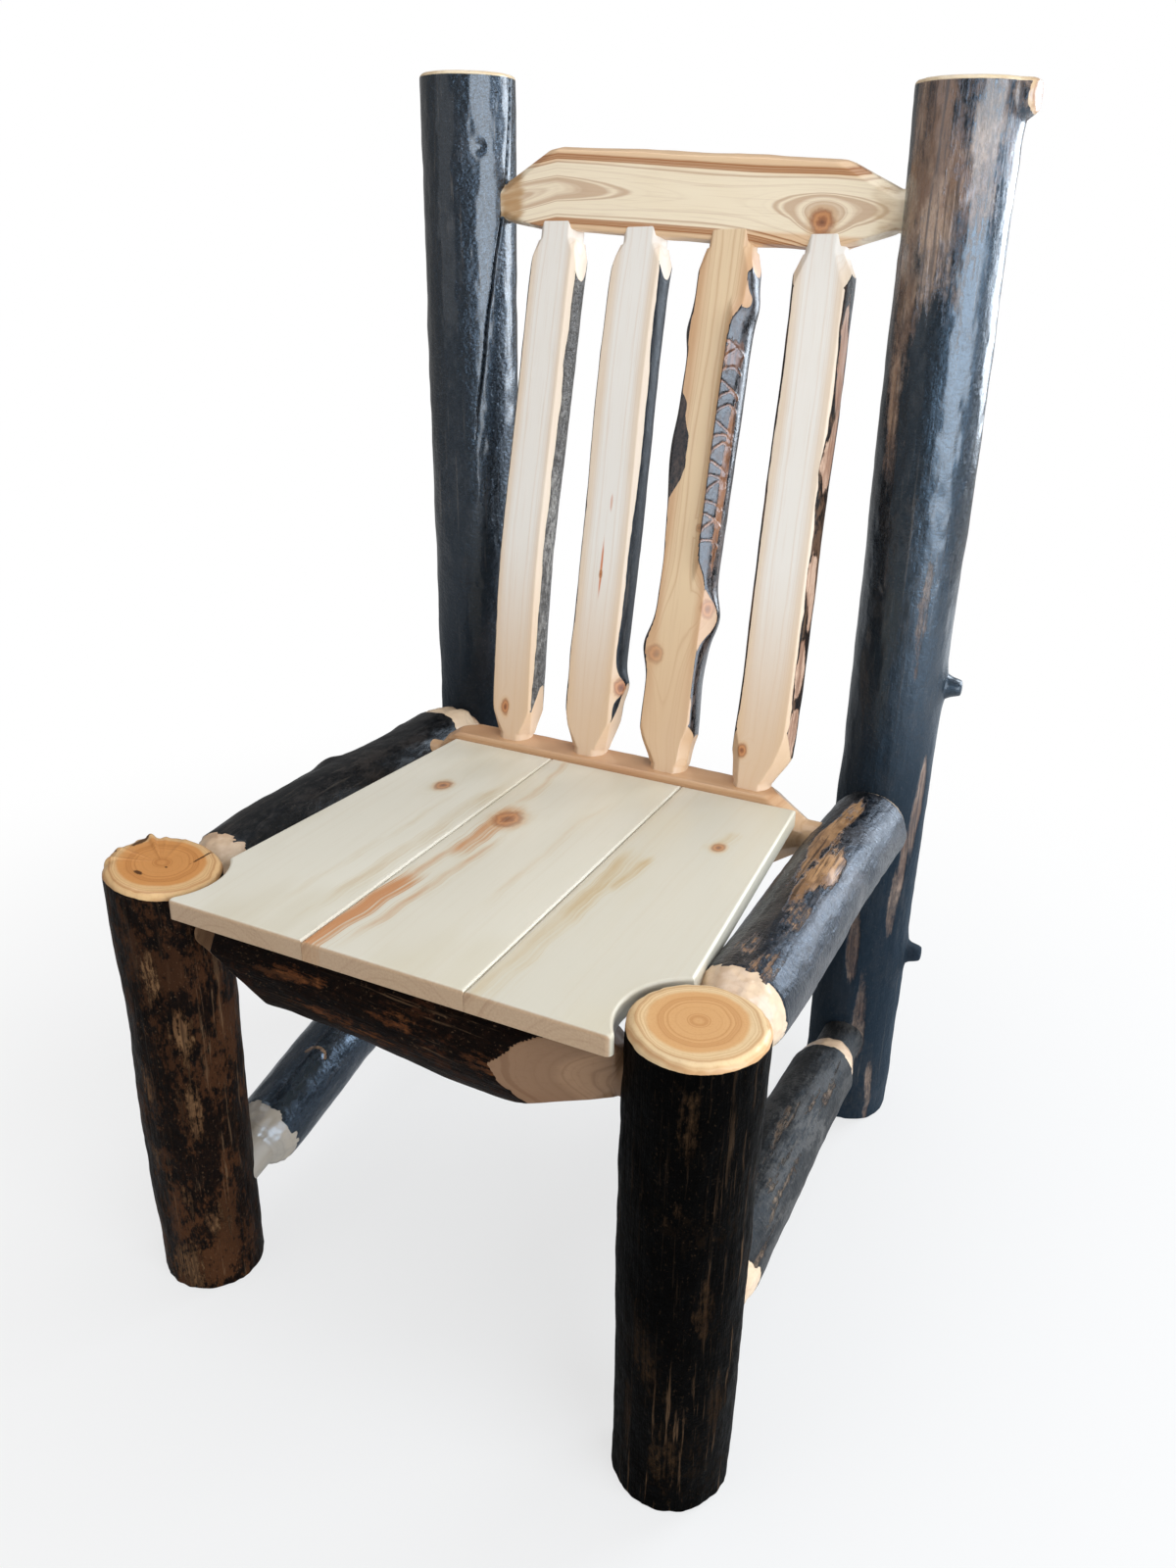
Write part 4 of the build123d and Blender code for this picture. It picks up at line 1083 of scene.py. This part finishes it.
BOARD_WOOD = dict(
    PALE_WOOD, sap=colour(218, 208, 186), sap_from=0.2, sap_blend=0.2, cloud_colour=colour(214, 204, 180),
    ring_colour=colour(200, 176, 138), ring=0.22, ring_rate=55, ring_range=(0.5, 0.8), sweep=0.12,
    drift=0.03, drift_scale=7, ripple=0.003, fibre=0.08, smudge=0.6, smudge_from=0.12, knot_share=0.8,
    pale_stain=colour(208, 190, 150),
)
BOARD_PITH_HEIGHT = 0.39
# Each board's node, pith x, tone and stain colour; its knots: x, y, size; and its stained streaks:
# their rear and front ends (x, y), half width and strength.
BOARDS = (
    ("seat_board_left", -150, colour(231, 225, 209), colour(198, 160, 116), [(-132, -12, 7)],
     [(((-72, 110), (-92, -350)), 17, 0.5), (((-100, 40), (-128, -340)), 11, 0.36)]),
    ("seat_board_middle", 20, colour(224, 217, 200), colour(200, 134, 82), [(-33, -50, 12)],
     [(((-33, 10), (-43, -170)), 20, 0.8), (((-42, -80), (-56, -270)), 13, 0.6),
      (((-48, -150), (-64, -380)), 20, 1.0), (((-50, 140), (-36, -50)), 12, 0.5),
      (((-12, -40), (-38, -360)), 12, 0.55), (((42, 120), (30, -300)), 12, 0.36)]),
    ("seat_board_right", 190, colour(214, 207, 190), colour(194, 164, 118), [(171, -9, 5.5)],
     [(((108, -20), (102, -240)), 19, 0.66), (((104, -130), (96, -380)), 22, 0.5),
      (((130, -40), (112, -150)), 13, 0.7), (((172, 40), (168, -30)), 15, 0.55)]),
)


def streak(shader, x, y, ends, half_width, strength):
    """Share of a stain that runs between two places of a board, wanders, and fades at both."""
    (x0, y0), (x1, y1) = ends
    inputs = {"Value": y, "From Min": y0 * MM, "From Max": y1 * MM, "To Min": x0 * MM, "To Max": x1 * MM}
    centre = shader.add("MapRange", inputs)
    centre = shader.plus(centre, shader.offset(shader.line_noise(y, 9.0, 2.0), 0.024))
    beside = shader.minus(x, centre)
    lines = shader.line_noise(beside, 300, 3.0, 0.6)
    across = shader.math("DIVIDE", shader.math("ABSOLUTE", beside), half_width * MM)
    across = shader.plus(across, shader.offset(lines, 2.2))
    fade = 0.28 * (y0 - y1)
    after_front = shader.step(y, y1 * MM, (y1 + fade) * MM)
    before_rear = shader.step(y, (y0 - fade) * MM, y0 * MM, 1.0, 0.0)
    inside = shader.times(after_front, before_rear)
    return shader.times(shader.step(across, 0.1, 1.0, strength, 0.0), inside)


def board_material(name, pith_x, tone, stain_colour, knots, streaks):
    """Flat-sawn pine whose pith lies below the board and runs front to back."""
    shader = Shader(name)
    place = shader.place()
    x, y, z = shader.parts(place)
    inputs = {0: shader.minus(x, pith_x * MM), 1: shader.minus(z, BOARD_PITH_HEIGHT), 2: y}
    grain = shader.add("CombineXYZ", inputs)
    knot = shader.plus(x, 9.0)
    for knot_x, knot_y, size in knots:
        beside = shader.moved(place, knot_x * MM, knot_y * MM, SEAT_HEIGHT * MM)
        distance = shader.length(shader.scaled(beside, 1 / (size * MM), 0.75 / (size * MM), 0))
        knot = shader.math("MINIMUM", knot, distance)
    stain = shader.step(knot, 0.8, 3.4, 0.5, 0.0)
    for ends, half_width, strength in streaks:
        stain = shader.math("MAXIMUM", stain, streak(shader, x, y, ends, half_width, strength))
    look = dict(BOARD_WOOD, heart=tone, stain=stain_colour)
    base, height = bare_wood(shader, grain, knot, 0.0, stain, look)
    at_front = shader.step(y, (SEAT_FRONT_Y + 0.6) * MM, (SEAT_FRONT_Y + 2.4) * MM, 0.9, 0.0)
    end_grain = shader.mix(shader.times(height, 1.6), colour(196, 164, 130), colour(150, 112, 80))
    base = shader.mix(at_front, base, end_grain)
    roughness = shader.step(height, 0.1, 0.6, 0.34, 0.44)
    return shader.finish(base, roughness, height, 0.0002, specular=0.45)


def steel_material():
    """Brushed, zinc-plated screw steel."""
    shader = Shader("zinc_plated_steel")
    brushed = shader.drawn(shader.place(), 6, 300, 3.0)
    base = shader.mix(brushed, colour(150, 150, 152), colour(190, 190, 188))
    shader.put(shader.surface.inputs["Metallic"], 1.0)
    return shader.finish(base, shader.step(brushed, 0.3, 0.7, 0.3, 0.5), brushed, 0.00005)


def give_material(node, material):
    """Dresses a CAD node's own mesh."""
    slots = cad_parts[node].data.materials
    slots.clear()
    slots.append(material)


for node, *board_look in BOARDS:
    give_material(node, board_material(node + "_wood", *board_look))
steel = steel_material()
for node in ("front_seat_screws", "rear_seat_screws"):
    give_material(node, steel)


# ---------------- floor, light and camera

FLOOR_GREY = (0.66, 0.66, 0.66, 1)
SHADOW_REACH = (0.2, 1.5)       # distances between which the floor's glow rises, in metres
NEAR_GLOW = 0.68                # share of glow under the chair
AMBIENT = 0.22                  # strength of the light from all around
BACKDROP = 1.0                  # strength of the white that only the camera sees
CHAIR_MIDDLE = Vector((0.0, 0.0, 0.55))
DAYLIGHT = (0.85, 0.925, 1.0)


def white_floor():
    """Floor of matt paint that shows the chair's shadow, and glows white to the camera farther out."""
    shader = Shader("floor")
    shader.tree.nodes.remove(shader.surface)
    paint = shader.add("BsdfDiffuse", {"Color": FLOOR_GREY})
    glow = shader.add("Emission", {"Color": WHITE})
    share = shader.step(shader.length(shader.place()), *SHADOW_REACH, NEAR_GLOW, 1.0)
    seen = shader.add("LightPath", {}, "Is Camera Ray")
    mixed = shader.add("MixShader", {0: shader.times(seen, share), 1: paint, 2: glow})
    shader.put(shader.tree.nodes["Material Output"].inputs["Surface"], mixed)
    return shader.material


bpy.ops.mesh.primitive_plane_add(size=14)
floor = bpy.context.object
floor.name = "floor"
floor.data.materials.append(white_floor())

world = bpy.data.worlds.new("studio")
bpy.context.scene.world = world
world.use_nodes = True
background = world.node_tree.nodes["Background"]
background.inputs["Color"].default_value = WHITE
light_path = world.node_tree.nodes.new("ShaderNodeLightPath")
strength = world.node_tree.nodes.new("ShaderNodeMix")
strength.inputs[2].default_value = AMBIENT
strength.inputs[3].default_value = BACKDROP
world.node_tree.links.new(light_path.outputs["Is Camera Ray"], strength.inputs[0])
world.node_tree.links.new(strength.outputs[0], background.inputs["Strength"])


def add_lamp(name, place, width, height, power, shade=(1, 1, 1)):
    """Soft rectangular lamp that faces the chair's middle."""
    data = bpy.data.lights.new(name, "AREA")
    data.shape = "RECTANGLE"
    data.size = width
    data.size_y = height
    data.energy = power
    data.color = shade
    lamp = bpy.data.objects.new(name, data)
    lamp.location = place
    lamp.rotation_euler = (CHAIR_MIDDLE - Vector(place)).to_track_quat("-Z", "Y").to_euler()
    bpy.context.scene.collection.objects.link(lamp)


add_lamp("window_side", (2.45, -1.1, 1.1), 2.5, 1.9, 92, DAYLIGHT)
add_lamp("window_back", (1.6, 2.1, 1.4), 1.3, 1.8, 64, DAYLIGHT)
add_lamp("ceiling", (-0.3, -0.2, 3.2), 2.4, 2.4, 36)
add_lamp("fill", (-1.8, -2.6, 1.8), 2.4, 2.4, 10)

CAMERA_PLACE = Vector((0.50504, -0.97719, 0.97505))
CAMERA_YAW = 0.4532
CAMERA_PITCH = 0.4210
CAMERA_ROLL = 0.01965
FOCAL_PIXELS = 1240.4
IMAGE_HEIGHT_PIXELS = 1600
SENSOR_HEIGHT = 36.0

camera_data = bpy.data.cameras.new("camera")
camera_data.sensor_width = SENSOR_HEIGHT
camera_data.lens = FOCAL_PIXELS / IMAGE_HEIGHT_PIXELS * SENSOR_HEIGHT
camera = bpy.data.objects.new("camera", camera_data)
yaw = Matrix.Rotation(CAMERA_YAW, 4, "Z")
tilt = Matrix.Rotation(math.pi / 2 - CAMERA_PITCH, 4, "X")
roll = Matrix.Rotation(CAMERA_ROLL, 4, "Z")
camera.matrix_world = Matrix.Translation(CAMERA_PLACE) @ yaw @ tilt @ roll
bpy.context.scene.collection.objects.link(camera)
bpy.context.scene.camera = camera
bpy.context.scene.view_settings.view_transform = "Standard"
